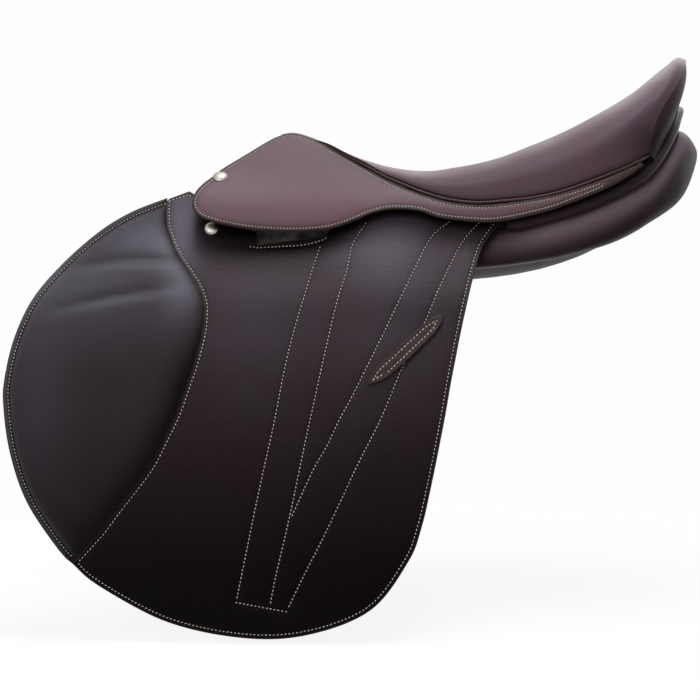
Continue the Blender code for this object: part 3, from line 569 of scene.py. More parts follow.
def bend(shape, side, outer, inner):
    """Gives a flat blank its thickness and bends it to a side's form."""
    shape = shape.copy()
    drop = shape.verts.layers.float["drop"]
    backs = set(new_verts(bmesh.ops.extrude_face_region(shape, geom=shape.faces[:])))
    for vert in shape.verts:
        x, z = vert.co.x, vert.co.z
        if vert in backs:
            vert.co.y = side * (inner(x, z) + vert[drop] * 0.7)
        else:
            vert.co.y = side * (outer(x, z) - vert[drop])
    return shape


# %% [markdown]
# Stitches are real thread here: each is a small closed grain of two dozen faces that lies half
# sunk along the seam, because a painted dash would vanish at the edges and in other light.


# %% Thread
STITCH_RISE, STITCH_LIFT, STITCH_SLANT = 0.42, 0.12, 0.16


def sew(shape, side, run, face, pitch=3.1, length=1.8, width=0.9):
    """Adds the stitches of one seam, which lie on a side form."""
    for point, ahead in walk(run, pitch):
        spot = Vector((point.x, side * face(point.x, point.y), point.y))
        far = point + ahead
        toward = (Vector((far.x, side * face(far.x, far.y), far.y)) - spot).normalized()
        slope_x = face(point.x + 1, point.y) - face(point.x - 1, point.y)
        slope_z = face(point.x, point.y + 1) - face(point.x, point.y - 1)
        up = Vector((-slope_x / 2, side, -slope_z / 2)).normalized()
        across = up.cross(toward).normalized()
        toward = (toward + across * STITCH_SLANT).normalized()
        turn = Matrix((across * width / 2, up * STITCH_RISE, toward * length / 2)).transposed().to_4x4()
        bmesh.ops.create_uvsphere(shape, u_segments=6, v_segments=4, radius=1.0,
                                  matrix=Matrix.Translation(spot + up * STITCH_LIFT) @ turn)


# %% [markdown]
# The off side mirrors the near side, so most leather is cut once and bent twice. Bodies and CAD nodes
# are named here without their side. A piece that crosses a hinge belongs to two bodies, and the
# leather turns smoothly from the fixed one to the moving one.


# %% Pairs
FLAP_HINGE = (Vector((-300, 22.7)), Vector((47, 8.0)), "flap", 9)
SKIRT_HINGE = (Vector((-203, 72)), Vector((-14, 47)), "skirt", 8)


def under(face, depth):
    return lambda x, z: face(x, z) - depth


def hang(made, word, hinge):
    """Blends a piece across a hinge line (end, end, moving part, half width of the bend)."""
    a, b, mover, reach = hinge
    along = (b - a).normalized()
    up = Vector((-along.y, along.x)) * reach
    start, end = (a + b) / 2 + up, (a + b) / 2 - up
    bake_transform(made, "tree", f"{word}_{mover}", (start.x * MM, 0, start.y * MM), (end.x * MM, 0, end.y * MM))


def finish_pair(name, shape_of, finish, body, stands_for, sharp, hinge, marks):
    """Finishes the left and the right piece of a pair, whose shapes shape_of makes."""
    both = []
    for side, word in SIDES:
        carrier = None if hinge else body if body == "tree" else f"{word}_{body}"
        made = piece(f"{word}_{name}", shape_of(side), finish, carrier,
                     [f"{word}_{stood}" for stood in stands_for], sharp)
        for kind, at in marks.items():
            mark(made, kind, at)
        if hinge:
            hang(made, word, hinge)
        both.append(made)
    return both


def pair(name, blank, outer, inner, finish, stands_for, slot, body="tree", sharp=50, hinge=None, **marks):
    """Bends one blank to both sides of the saddle. Each mark is a function of the place (x, z)."""
    both = finish_pair(name, lambda side: bend(blank, side, outer, inner), finish, body, stands_for,
                       sharp, hinge, marks)
    blank.free()
    return both


def thread_pair(name, rows, body="tree", hinge=None):
    """The stitches of both sides. Each row is a run, the face that it lies on and its stitch."""
    def sewn(side):
        thread = bmesh.new()
        for run, face, *stitch in rows:
            sew(thread, side, run, face, *stitch)
        return thread

    finish_pair(name, sewn, waxed_thread, body, (), 180, hinge, {})


# %% [markdown]
# Soft bodies such as the seat and the panels are made from a grid whose rows and columns follow the
# piece itself, so that the faces flow along it, with an outer and an inner surface.


# %% Grids
def grid_form(columns, rows, outer, inner):
    shape = bmesh.new()
    bmesh.ops.create_grid(shape, x_segments=len(columns) - 1, y_segments=len(rows) - 1, size=0.5)
    backs = set(new_verts(bmesh.ops.extrude_face_region(shape, geom=shape.faces[:])))
    for vert in shape.verts:
        column = columns[round((vert.co.x + 0.5) * (len(columns) - 1))]
        row = rows[round((vert.co.y + 0.5) * (len(rows) - 1))]
        vert.co = (inner if vert in backs else outer)(column, row)
    bmesh.ops.remove_doubles(shape, verts=shape.verts, dist=0.01)
    bmesh.ops.dissolve_degenerate(shape, edges=shape.edges, dist=0.004)
    return shape


def even(first, last, parts):
    return [first + (last - first) * k / parts for k in range(parts + 1)]


# %% [markdown]
# ## Leather
# Bridle leather is a dyed hide: its pores and fine grain scatter the light, the dye is a little
# uneven, and a thin wax gives a soft sheen. The grain and the uneven dye are one node group that
# every leather uses with its own numbers. Cut edges are painted a dull olive brown, which the `rim`
# attribute places.


# %% Grain group
def grain_group():
    group = bpy.data.node_groups.new("leather grain", "ShaderNodeTree")
    for name, start in (("Vector", None), ("Grain", 900.0), ("Stretch", 1.0), ("Creases", 0.2)):
        kind = "NodeSocketFloat" if start else "NodeSocketVector"
        socket = group.interface.new_socket(name=name, in_out="INPUT", socket_type=kind)
        if start:
            socket.default_value = start
    for name in ("Height", "Pores", "Dye"):
        group.interface.new_socket(name=name, in_out="OUTPUT", socket_type="NodeSocketFloat")
    given = group.nodes.new("NodeGroupInput").outputs
    taken = group.nodes.new("NodeGroupOutput").inputs

    pores = node(group, "TexVoronoi", {"Vector": given["Vector"], "Scale": given["Grain"]}, "Distance",
                 feature="DISTANCE_TO_EDGE")
    hills = node(group, "MapRange", {"Value": pores, "From Max": 0.22})
    pull = node(group, "CombineXYZ", {"X": 1.0, "Y": 1.0, "Z": given["Stretch"]})
    drawn = node(group, "VectorMath", {0: given["Vector"], 1: pull}, operation="MULTIPLY")
    creases = node(group, "TexNoise", {"Vector": drawn, "Scale": 95.0, "Detail": 5.0, "Roughness": 0.62,
                                       "Distortion": 0.35}, "Fac")
    folds = node(group, "Math", {0: creases, 1: given["Creases"]}, operation="MULTIPLY")
    relief = node(group, "Math", {0: hills, 1: 0.16, 2: folds}, operation="MULTIPLY_ADD")
    dye = node(group, "TexNoise", {"Vector": given["Vector"], "Scale": 14.0, "Detail": 3.0,
                                   "Roughness": 0.55}, "Fac")
    patches = node(group, "MapRange", {"Value": dye, "From Min": 0.35, "From Max": 0.68})
    for name, value in (("Height", relief), ("Pores", hills), ("Dye", patches)):
        group.links.new(value, taken[name])
    return group


GRAIN = grain_group()

# %% [markdown]
# Each leather is then a Principled shader with its own dye. `deep` is the second dye, which shows in
# patches, and `low` is a third, darker tone, which takes over down the side: painted shade, as the
# lower flap and pad get less light. One attribute mixes in a paler painted highlight where the flap,
# pad, panel and skirt face the light, and a darker painted shade along the seat's piping. Another
# mixes in a dark tone of painted shade in folds, grooves and needle holes, along the seat's piping,
# low on the panel and the facing and in the skirt's shadow on the flap; on the skirt it also widens
# the dark band along the cut edge. `shine` is how much wax is left to mirror the room.
# `glance` is how much of a white mirror the leather becomes where it is seen at a glancing angle.


# %% Leather material
def plain(name, colour, roughness, metallic=0.0):
    """A material of one colour, with its node tree and the inputs of its shader."""
    made = bpy.data.materials.new(name)
    made.use_nodes = True
    made.diffuse_color = (*colour, 1)
    shader = made.node_tree.nodes["Principled BSDF"].inputs
    for place, value in (("Base Color", (*colour, 1)), ("Roughness", roughness), ("Metallic", metallic)):
        shader[place].default_value = value
    return made, made.node_tree, shader


def mix_colour(net, factor, first, second):
    """The output of a colour mix whose ends are colours or other nodes' outputs."""
    first, second = ((*end, 1) if isinstance(end, tuple) else end for end in (first, second))
    return node(net, "Mix", {0: factor, 6: first, 7: second}, 2, data_type="RGBA")


def spread(net, value, low, high):
    return node(net, "MapRange", {"Value": value, "To Min": low, "To Max": high})


def feed(net, shader, colour, height, strength, distance):
    """Gives a shader its colour and the bump of a height."""
    relief = node(net, "Bump", {"Strength": strength, "Distance": distance, "Height": height})
    net.links.new(colour, shader["Base Color"])
    net.links.new(relief, shader["Normal"])


def leather(name, dye, deep, low=None, low_from=0.0, low_to=-0.2, roughness=0.42, grain=900.0,
            creases=0.2, stretch=1.0, bump=0.25, shine=0.4, glance=0.5, rim=None, pores=0.3, bloom=None):
    made, net, shader = plain(name, dye, roughness)
    shader["Specular Tint"].default_value = (shine * 0.96, shine * 0.9, shine, 1)
    shader["Specular IOR Level"].default_value = glance
    place = node(net, "TexCoord", out="Object")
    hide = node(net, "Group", {"Vector": place, "Grain": grain, "Stretch": stretch, "Creases": creases},
                node_tree=GRAIN).node.outputs
    colour = mix_colour(net, hide["Dye"], dye, deep)
    # Painted shade: a darker tone towards the bottom, where less light reaches the lower flap and pad.
    if low:
        height = node(net, "SeparateXYZ", {0: place}, "Z")
        fall = node(net, "MapRange", {"Value": height, "From Min": low_from, "From Max": low_to},
                    interpolation_type="SMOOTHSTEP")
        colour = mix_colour(net, fall, colour, low)
    # Painted light and shade: the first attribute mixes in a paler painted highlight, or on the seat a darker
    # painted shade; the second mixes in a dark tone of painted shade, which on the skirt also widens its dark
    # edge band.
    if bloom:
        shade_and_edge_tone = (dye[0] * 0.08, dye[1] * 0.06, dye[2] * 0.08)
        for kind, tone in (("bloom", bloom), ("oil", shade_and_edge_tone)):
            colour = mix_colour(net, node(net, "Attribute", out="Fac", attribute_name=kind), colour, tone)
    pits = node(net, "MapRange", {"Value": hide["Pores"], "To Min": 1 - pores})
    colour = node(net, "Mix", {0: 1.0, 6: colour, 7: pits}, 2, data_type="RGBA", blend_type="MULTIPLY")
    rough = spread(net, hide["Dye"], roughness - 0.05, roughness + 0.07)
    if rim:
        edge = node(net, "Attribute", out="Fac", attribute_name="rim")
        colour = mix_colour(net, edge, colour, rim)
        rough = node(net, "Mix", {0: edge, 2: rough, 3: 0.62})
    net.links.new(rough, shader["Roughness"])
    feed(net, shader, colour, hide["Height"], bump, 0.002)
    return made


# %% [markdown]
# The saddle needs ten leathers. The seat and the skirt are rubbed smooth and reddish, the flap is
# nearly black low down, and the panel has hardly any sheen. Their tones were matched to the photo
# under these lamps, so they aren't what a dye chart would say.

# %% Leathers
EDGE_PAINT = (0.036, 0.027, 0.016)
# The tone given last to the skirt, flap, pad and panel leathers is a paler painted highlight; the seat's, which
# is darker, is painted shade along its piping, and the facing's is marked nowhere.
skirt_leather = leather("skirt leather", (0.1, 0.061, 0.071), (0.112, 0.057, 0.065),
                        grain=1300.0, creases=0.12, bump=0.12, shine=0.35, rim=EDGE_PAINT, pores=0.12,
                        bloom=(0.172, 0.1, 0.112))
seat_leather = leather("seat leather", (0.1, 0.068, 0.085), (0.109, 0.064, 0.078), roughness=0.44,
                       grain=1300.0, creases=0.15, bump=0.12, shine=0.3, glance=0.22, pores=0.12,
                       bloom=(0.05, 0.022, 0.018))
flap_leather = leather("flap leather", (0.029, 0.0205, 0.025), (0.033, 0.018, 0.0215),
                       (0.001, 0.0001, 0.0003), low_from=-0.06, low_to=-0.27, grain=1000.0, creases=0.9,
                       stretch=4.0, bump=0.26, shine=0.08, rim=EDGE_PAINT, pores=0.2,
                       bloom=(0.17, 0.155, 0.19))
pad_leather = leather("pad leather", (0.03, 0.024, 0.028), (0.033, 0.023, 0.026), (0.01, 0.006, 0.008),
                      low_from=-0.05, low_to=-0.26, roughness=0.46, grain=1100.0, creases=0.3,
                      stretch=1.6, bump=0.16, shine=0.12, rim=EDGE_PAINT, pores=0.15,
                      bloom=(0.17, 0.165, 0.205))
panel_leather = leather("panel leather", (0.05, 0.034, 0.04), (0.06, 0.036, 0.04), roughness=0.44,
                        grain=1100.0, creases=0.5, bump=0.16, shine=0.08, glance=0.15, pores=0.15,
                        bloom=(0.31, 0.235, 0.28))
roll_leather = leather("roll leather", (0.03, 0.018, 0.022), (0.036, 0.02, 0.022), roughness=0.36,
                       grain=1100.0, creases=0.3, bump=0.12, shine=0.25, glance=0.25, pores=0.12)
facing_leather = leather("facing leather", (0.08, 0.05, 0.06), (0.088, 0.048, 0.056), roughness=0.5,
                         grain=1200.0, bump=0.12, shine=0.08, glance=0.15, pores=0.15,
                         bloom=(0.05, 0.03, 0.03))
inner_leather = leather("inner leather", (0.03, 0.018, 0.019), (0.04, 0.022, 0.022), roughness=0.5,
                        grain=1000.0, creases=0.4, bump=0.2, shine=0.3, rim=EDGE_PAINT, pores=0.2)
piping_leather = leather("piping leather", (0.055, 0.03, 0.032), (0.06, 0.028, 0.028),
                         grain=1500.0, creases=0.1, bump=0.1, pores=0.1)
strap_leather = leather("strap leather", (0.034, 0.02, 0.02), (0.044, 0.022, 0.02), roughness=0.46,
                        creases=0.3, bump=0.2, shine=0.35, rim=EDGE_PAINT, pores=0.25)

# %% [markdown]
# Every other finish is a pattern that mixes two colours and lifts the surface a little: noise, which
# is drawn out along the grain of wood or the strokes of a brush, crossed waves for a weave, and
# cells for the pores of foam.


# %% Patterns
def noise_at(scale, detail=3.0, stretch=(1.0, 1.0, 1.0)):
    """A pattern of noise, which may be drawn out along one axis."""
    def build(net):
        place = node(net, "Mapping", {"Vector": node(net, "TexCoord", out="Object"), "Scale": stretch})
        return node(net, "TexNoise", {"Vector": place, "Scale": scale, "Detail": detail}, "Fac")

    return build


def waves_at(scale, distortion, *directions):
    """A pattern of waves across each direction, multiplied together."""
    def build(net):
        total = None
        for direction in directions:
            wave = node(net, "TexWave", {"Vector": node(net, "TexCoord", out="Object"), "Scale": scale,
                                         "Distortion": distortion}, "Fac", bands_direction=direction)
            total = node(net, "Math", {0: total, 1: wave}, operation="MULTIPLY") if total else wave
        return total

    return build


def cells_at(scale):
    return lambda net: node(net, "TexVoronoi", {"Vector": node(net, "TexCoord", out="Object"),
                                                "Scale": scale}, "Distance")


def textured(name, colour, roughness, pattern, ends, bump, over=None, metallic=0.0):
    """A finish whose pattern mixes two colours and lifts the surface, with a second tone over it."""
    made, net, shader = plain(name, colour, roughness, metallic)
    height = pattern(net)
    mixed = mix_colour(net, height, *ends)
    if over:
        second, low, high, tone = over
        mixed = mix_colour(net, spread(net, second(net), low, high), mixed, tone)
    if metallic:
        smudge = spread(net, noise_at(40.0)(net), roughness - 0.1, roughness + 0.12)
        net.links.new(smudge, shader["Roughness"])
    feed(net, shader, mixed, height, *bump)
    return made


def metal(name, colour, roughness):
    return textured(name, colour, roughness, noise_at(500.0, 4.0, (0.04, 1.0, 1.0)),
                    (tuple(c * 0.82 for c in colour), colour), (0.15, 0.0002), metallic=1.0)


# %% [markdown]
# The thread is waxed and cream. The bar is brushed steel, the nickel is polished on the stud and
# worn on the nail, the tree is layered beech, the webs are linen and the seat is filled with latex
# foam. The tree and its metal keep their CAD shapes, so the solids of the frame are painted here too.

# %% Thread, metal, wood, cloth and foam
waxed_thread = textured("waxed thread", (0.72, 0.67, 0.55), 0.6, noise_at(1400.0, 2.0),
                        ((0.66, 0.61, 0.48), (0.86, 0.82, 0.7)), (0.4, 0.0003),
                        (noise_at(60.0, 2.0), -0.2, 0.7, (0.5, 0.45, 0.34)))
bar_steel = metal("bar steel", (0.52, 0.51, 0.49), 0.38)
nickel = metal("polished nickel", (0.5, 0.475, 0.44), 0.38)
worn_nickel = metal("worn nickel", (0.36, 0.335, 0.3), 0.48)
beech = textured("beech laminate", (0.4, 0.25, 0.13), 0.55, noise_at(60.0, 5.0, (0.12, 1.0, 1.0)),
                 ((0.29, 0.16, 0.075), (0.5, 0.33, 0.18)), (0.2, 0.0006),
                 (waves_at(130.0, 1.5, "Z"), 0.0, 0.35, (0.2, 0.11, 0.05)))
linen = textured("linen web", (0.3, 0.27, 0.21), 0.85, waves_at(190.0, 0.6, "X", "Z"),
                 ((0.14, 0.125, 0.12), (0.34, 0.31, 0.28)), (0.5, 0.0006),
                 (noise_at(70.0, 5.0), -1.2, 2.0, (0.035, 0.032, 0.042)))
latex = textured("latex foam", (0.6, 0.55, 0.38), 0.9, cells_at(700.0),
                 ((0.66, 0.61, 0.44), (0.5, 0.44, 0.28)), (0.4, 0.0008))

FINISHES = {"tree_head": beech, "tree_cantle": beech, "tree_bar": beech, "head_plate": bar_steel,
            "cantle_plate": bar_steel, "stirrup_bar": bar_steel, "bar_catch": bar_steel,
            "seat_web": linen, "girth_web": linen, "bar_patch": linen, "seat_foam": latex,
            "skirt_nail": worn_nickel, "point_stud": nickel}
for name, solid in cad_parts.items():
    kind = name.replace("left_", "").replace("right_", "")
    solid.data.materials.clear()
    solid.data.materials.append(FINISHES.get(kind, inner_leather))
print("finishes", len(bpy.data.materials), "for", len(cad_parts), "solids")

# %% [markdown]
# ## The seat
# The seat is one hide drawn tight over latex foam and nailed under the cantle. Its edge rolls down
# into the piping. It is a grid along and across the saddle, with more rows near the piping, where
# the hide turns under.

# %% Seat cover
SEAT_ROWS = [math.sin(math.pi / 2 * t) for t in even(-1, 1, 72)]


def seat_hide(depth):
    """The cover's surface at a depth, drawn in beside the piping at both edges."""
    inner_row = 0.86

    def on_form(u, v):
        return tucked(seat_point(u, v) - seat_normal(u, v) * depth, v)

    def at(u, v):
        side = math.copysign(1, v)
        if abs(v) <= inner_row:
            return on_form(u, v)
        welt = welt_point(u, side)
        along = (welt_point(min(u + 0.02, 1), side) - welt_point(max(u - 0.02, 0), side)).normalized()
        start = on_form(u, side * inner_row)
        inward = start - welt
        inward = (inward - along * inward.dot(along)).normalized()
        low = welt + inward * 1.9 + seat_normal(u, side * inner_row) * (1.25 - depth) * 0.8
        turn = on_form(u, side * 0.955)
        t = (abs(v) - inner_row) / (1 - inner_row)
        return start * (1 - t) ** 2 + turn * 2 * t * (1 - t) * 0.55 + low * (t * t + 2 * t * (1 - t) * 0.45)

    return at


columns = [0.6 * (0.5 - 0.5 * math.cos(math.pi * t)) + 0.4 * t for t in even(0, 1, 96)]
seat = piece("seat_hide", grid_form(columns, SEAT_ROWS, seat_hide(0), seat_hide(COVER_LEATHER)),
             seat_leather, "tree", ["seat_cover"], sharp=60)
# Painted shade on the seat: a darker brown along the piping, where the hide turns under, a dark patch low at the
# rear and a dark line just above the piping.
mark(seat, "bloom", lambda x, z: 0.6 * bell(z - welt_line(x), 7))
mark(seat, "oil", lambda x, z: 0.75 * patch_of(x, z, (188, 104), 26, 16)
     + 0.4 * bell(z - welt_line(x) - 3, 3))

# %% [markdown]
# A thin cord covered in the seat's own leather runs in the groove between the seat and the skirt.


# %% Piping
def tube_shape(points, radius, sides):
    """A round cord through points, drawn out ring by ring from a circle."""
    shape = bmesh.new()
    bmesh.ops.create_circle(shape, cap_ends=True, segments=sides, radius=1.0)
    up = None
    was = Matrix()
    for i, point in enumerate(points):
        ahead = (points[min(i + 1, len(points) - 1)] - points[max(i - 1, 0)]).normalized()
        up = ahead.orthogonal() if up is None else up
        up = (up - ahead * up.dot(ahead)).normalized()
        size = radius(i / (len(points) - 1))
        turn = Matrix((up * size, ahead.cross(up) * size, ahead)).transposed().to_4x4()
        place = Matrix.Translation(point) @ turn
        if i:
            ring = new_verts(bmesh.ops.extrude_edge_only(shape, edges=open_edges(shape)))
        else:
            ring = shape.verts[:]
        bmesh.ops.transform(shape, matrix=place @ was.inverted(), verts=ring)
        was = place
    bmesh.ops.holes_fill(shape, edges=open_edges(shape))
    return shape


for side, word in SIDES:
    line = [welt_point(u, side) for u in even(0, 1, 110)]
    cord = tube_shape(line, lambda share: 1.3 * min(1.0, 0.3 + min(share, 1 - share) * 60), 12)
    piece(f"{word}_piping", cord, piping_leather, "tree", [f"{word}_seat_welt"], 60)

# %% [markdown]
# ## The flap
# The flap is cut from one stout hide, 4 mm thick. Its front third is a stuffed pad, sewn to the
# flap along a curved seam. Seam lines fan down the flap from the girth straps under it. They pull
# the leather in, so the blank is cut finer beside them and sinks there by most of a millimetre.

# %% Outlines of the flap
FLAP_FRONT = ((-232.6, 61.8), (-262, 50), (-289, 33), (-314, 9), (-337, -23), (-351, -57),
              (-358, -93), (-358, -116), (-351, -154), (-336, -193), (-309, -231), (-297, -242))
FLAP_BOTTOM = ((-297, -242), (-276, -259), (-220, -287), (-159, -299), (-108, -296), (-58, -276),
               (-28, -238), (-17, -210), (-8, -172), (2, -124), (8, -92), (18, -46), (28, -9),
               (38, 18), (52, 37))
PAD_SEAM = ((-233, 62), (-231, 47), (-228, 34), (-220, 16), (-208, -2), (-199, -15), (-193, -29),
            (-192, -43), (-193, -57), (-198, -79), (-204, -98), (-213, -124), (-222, -143),
            (-233, -165), (-246, -183), (-260, -201), (-276, -222), (-297, -242))
FLAP_HEAD = ((50, 39), (10, 44), (-20, 50), (-50, 60), (-80, 72), (-190, 72), (-204, 62),
             (-213.5, 67.8))
WINDOW = ((-154, 31), (-153, 20), (-96, 27), (-90, 34), (-90, 58), (-160, 58), (-160, 33))

front_edge = smooth_run(FLAP_FRONT, 5)
bottom_edge = smooth_run(FLAP_BOTTOM, 5)
pad_seam = smooth_run(PAD_SEAM, 5)
pad_seam = [a.lerp(b, min(1, k / 5, (len(pad_seam) - 1 - k) / 5))
            for k, (a, b) in enumerate(zip(pad_seam, beside(pad_seam, -2.4)))]

# %% [markdown]
# Four seams fan down the flap. Three reach a short one at its foot, and the fourth runs into its
# neighbour. The others follow the window, the edge, the pad and the head. One finder holds them
# all, as the leather sinks at each of them in the same way.

# %% Seams of the flap
SEAM_A = ((-100, 17), (-105, 1), (-111, -21), (-117, -42), (-122, -61), (-128, -87), (-135, -125),
          (-143, -162), (-151, -200), (-159, -240), (-165, -270))
SEAM_B = ((-61, 38), (-72, 20), (-77, -3), (-84, -26), (-91, -55), (-107, -128), (-114, -161),
          (-121, -195), (-127, -222), (-134, -252), (-138, -273))
SEAM_C = ((10, 39), (-3, 29), (-11, 17), (-19, 1), (-28, -17), (-37, -35), (-46, -54), (-55, -72),
          (-63, -88), (-72, -106), (-83, -126), (-93, -147), (-103, -164), (-111, -181), (-121, -203))
SEAM_D = ((35, 38), (23, 25), (16, 14), (7, -3), (-3, -23), (-11, -42), (-29, -78), (-36, -93),
          (-50, -126), (-68, -161), (-83, -193), (-99, -226), (-111, -249), (-124, -276))
SEAM_FOOT = ((-165, -271), (-125, -278))
SEAM_WINDOW = ((-159, 18), (-153, 17), (-134, 18), (-117, 19), (-102, 22), (-93, 26))

flap_seams = [smooth_run(seam, 6) for seam in (SEAM_A, SEAM_B, SEAM_C, SEAM_D, SEAM_FOOT, SEAM_WINDOW)]
flap_seams.append(beside(bottom_edge, 3.4)[1:-1])
flap_seams.append(beside(pad_seam, 2.3)[1:-1])
flap_seams.append(vectors(((-230, 59.2), (-222, 61.8), (-214, 64.4), (-205, 59), (-200, 61))))
pad_stitch = beside(front_edge, 4.4)[1:-1]
near_seam = nearness(*flap_seams)
near_stitch = nearness(pad_stitch)
print("seams", len(flap_seams) + 1)

# %% [markdown]
# The flap isn't flat between its seams: it rises over the thigh pad under the skirt, and the strips
# between the seams stay a little proud. The knee pad has two soft creases where it folds round the
# knee, each a shallow valley with a ridge under it.

# %% Relief of the flap
CREASES = ((curve((-300, 1), (-262, 5), (-218, 5)), -258, 3.0),
           (curve((-326, -38), (-275, -27), (-214, -17)), -268, 3.8))


def creased(x, z):
    """How far above each crease of the knee pad a place is, how much of it is there, and its depth."""
    return [(z - line(x), clamp(1.4 - abs(x - middle) / 46), deep)
            for line, middle, deep in CREASES]


def flap_relief(x, z):
    groove = -0.75 * bell(near_seam(x, z), 1.5)
    proud = 0.55 * min(near_seam(x, z) / 9.0, 1.0)
    thigh = 3.6 * patch_of(x, z, (-38, 4), 46, 40)
    strap = 1.2 * bell(x + 70, 30) * clamp((20 - z) / 80)
    wave = 0.7 * noise.noise(Vector((x / 60, 0.3, z / 45)))
    fold = 0.22 * noise.noise(Vector((x / 16, 7.3, z / 3.2))) * patch_of(x, z, (-30, -5), 50, 45)
    return groove + proud + thigh + strap + wave + fold


def flap_outer(x, z):
    return flap_face(x, z) + flap_relief(x, z)


pad_outline = front_edge[:-1] + pad_seam[:0:-1]
from_front = nearness(front_edge)
from_seam = nearness(pad_seam)


def pad_outer(x, z):
    front, seam = from_front(x, z), from_seam(x, z)
    depth = min(front, seam)
    rise = 8.6 * swell(front, 1.0, 26.0, 5.6) * swell(seam, 1.0, 30.0, 0.3)
    groove = -0.8 * bell(near_stitch(x, z), 1.3) - 0.6 * bell(front - 5.8, 1.1)
    for above, along, deep in creased(x, z):
        valley = -deep * bell(above, 9.0 if above > 0 else 3.4)
        rise += (valley + bell(above + 6.5, 4.5)) * along * min(depth / 22, 1)
    wave = 0.8 * noise.noise(Vector((x / 55, 2.3, z / 40))) * min(depth / 25, 1)
    return flap_face(x, z) + rise + groove + wave


# %% [markdown]
# Light and shade are painted on the flap and the pad: paler painted highlights where their swells
# face the light, and painted shade in folds, in needle holes, beside the pad's seam and in the
# skirt's shadow on the flap.

# %% Flap and pad
SHEET = 4  # the thickness of the flap's and the skirt's leather
skirt_low = curve((-209, 47), (-195, 40), (-178, 35), (-156, 31.5), (-127, 29.5), (-101, 31), (-86, 34),
                  (-69, 39.5), (-56, 45.5), (-43, 48.6), (-30, 49), (-15, 47.5), (-1, 42), (18, 39),
                  (52, 38))
flap_outline = beside(pad_seam, -0.7)[1:] + bottom_edge[1:] + vectors((*FLAP_HEAD, (-230.6, 61.2)))
flap_blank = cut_blank(flap_outline, [vectors(WINDOW)], near=near_seam, reaches=(6.5, 3.0))
pad_blank = cut_blank(pad_outline, cell=4.5, near=near_stitch, reaches=(5.0, 2.4))
print("blanks", len(flap_blank.faces), len(pad_blank.faces))


# Painted highlights: pale patches where the flap's swells face the light.
def flap_painted_highlight(x, z):
    return (0.44 * patch_of(x, z, (-48, 20), 42, 30) + 0.17 * patch_of(x, z, (-38, -60), 60, 50)
            + 0.18 * patch_of(x, z, (-160, -40), 60, 60) + 0.95 * patch_of(x, z, (-219, 36), 17, 40)
            + 0.16 * patch_of(x, z, (20, 8), 16, 30))


def flap_painted_shade(x, z):
    """The painted shadow of the skirt on the flap under it, and painted shade in the needle holes of each seam.
    """
    left = clamp((-60 - x) / 50)
    below = max(skirt_low(x) - z - 8 * left, 0) / (8 + 10 * left)
    return 0.97 * bell(below, 1.0) * clamp((x + 209) / 6) + 0.45 * bell(near_seam(x, z), 1.1)


# Painted highlights on the knee pad: its upper part, its swell, the ridges under the creases and a thin band
# inside its front edge.
def pad_painted_highlight(x, z):
    place = (0.7 * patch_of(x, z, (-240, 26), 42, 20) + 0.5 * patch_of(x, z, (-214, -14), 16, 30)
             + 0.3 * patch_of(x, z, (-290, -20), 70, 30) + 0.14 * patch_of(x, z, (-330, -90), 30, 90))
    place += sum(0.2 * bell(above + 4.5, 3.5) * along for above, along, deep in creased(x, z))
    return place + 0.3 * bell(from_front(x, z) - 2.0, 1.8)


# Painted shade on the knee pad: beside its seam, more low down where it rolls away, in the creases and in the
# groove inside its stitching.
def pad_painted_shade(x, z):
    seam = from_seam(x, z)
    place = 0.85 * bell(seam, 16) * clamp((-40 - z) / 50) + 0.7 * bell(seam, 4.2)
    place += sum(0.5 * bell(above - 2.5, 5 if above > 2.5 else 2.2) * along
                 for above, along, deep in creased(x, z))
    return place + 0.75 * bell(from_front(x, z) - 5.4, 1.7)


pair("flap_leather", flap_blank, flap_outer, under(flap_face, SHEET), flap_leather,
     ["flap", "flap_head"], "flap_leather", hinge=FLAP_HINGE, bloom=flap_painted_highlight, oil=flap_painted_shade)
pads = pair("knee_cushion", pad_blank, pad_outer, under(flap_face, SHEET), pad_leather, ["knee_pad"],
            "soft_leather", hinge=FLAP_HINGE, bloom=pad_painted_highlight, oil=pad_painted_shade)
seams = [(seam, flap_outer) for seam in flap_seams]
thread_pair("flap_thread", [*seams, (pad_stitch, pad_outer, 2.9, 1.6)], hinge=FLAP_HINGE)

# %% [markdown]
# The keeper is a pointed tab of stiff leather, sewn all round, that guides a stirrup leather's end.

# %% Keeper
KEEPER = ((-60, -98), (-54, -85), (-15, -49), (0, -41), (-4, -54), (-42, -90))
keeper_seam = shrunk(KEEPER, 3.0)
near_keeper = nearness(keeper_seam)


def keeper_outer(x, z):
    near = near_keeper(x, z)
    return flap_face(x, z) + 3.5 + 0.4 * min(near / 3, 1) - 0.5 * bell(near, 1.3)


keeper_blank = cut_blank(even_ring(smooth_run((*KEEPER, KEEPER[0]), 4), 3.0), cell=2.5, inset=1.1)
pair("keeper_tab", keeper_blank, keeper_outer, under(flap_face, -0.5), strap_leather, ["leather_keeper"],
     "flap_leather", "flap")
thread_pair("keeper_thread", [(keeper_seam, keeper_outer, 3.4, 2.3)], "flap")

# %% [markdown]
# ## The skirt
# The skirt covers the stirrup bar. It is the smoothest and lightest leather on the saddle, sewn
# round its whole edge, with a nail through its nose.

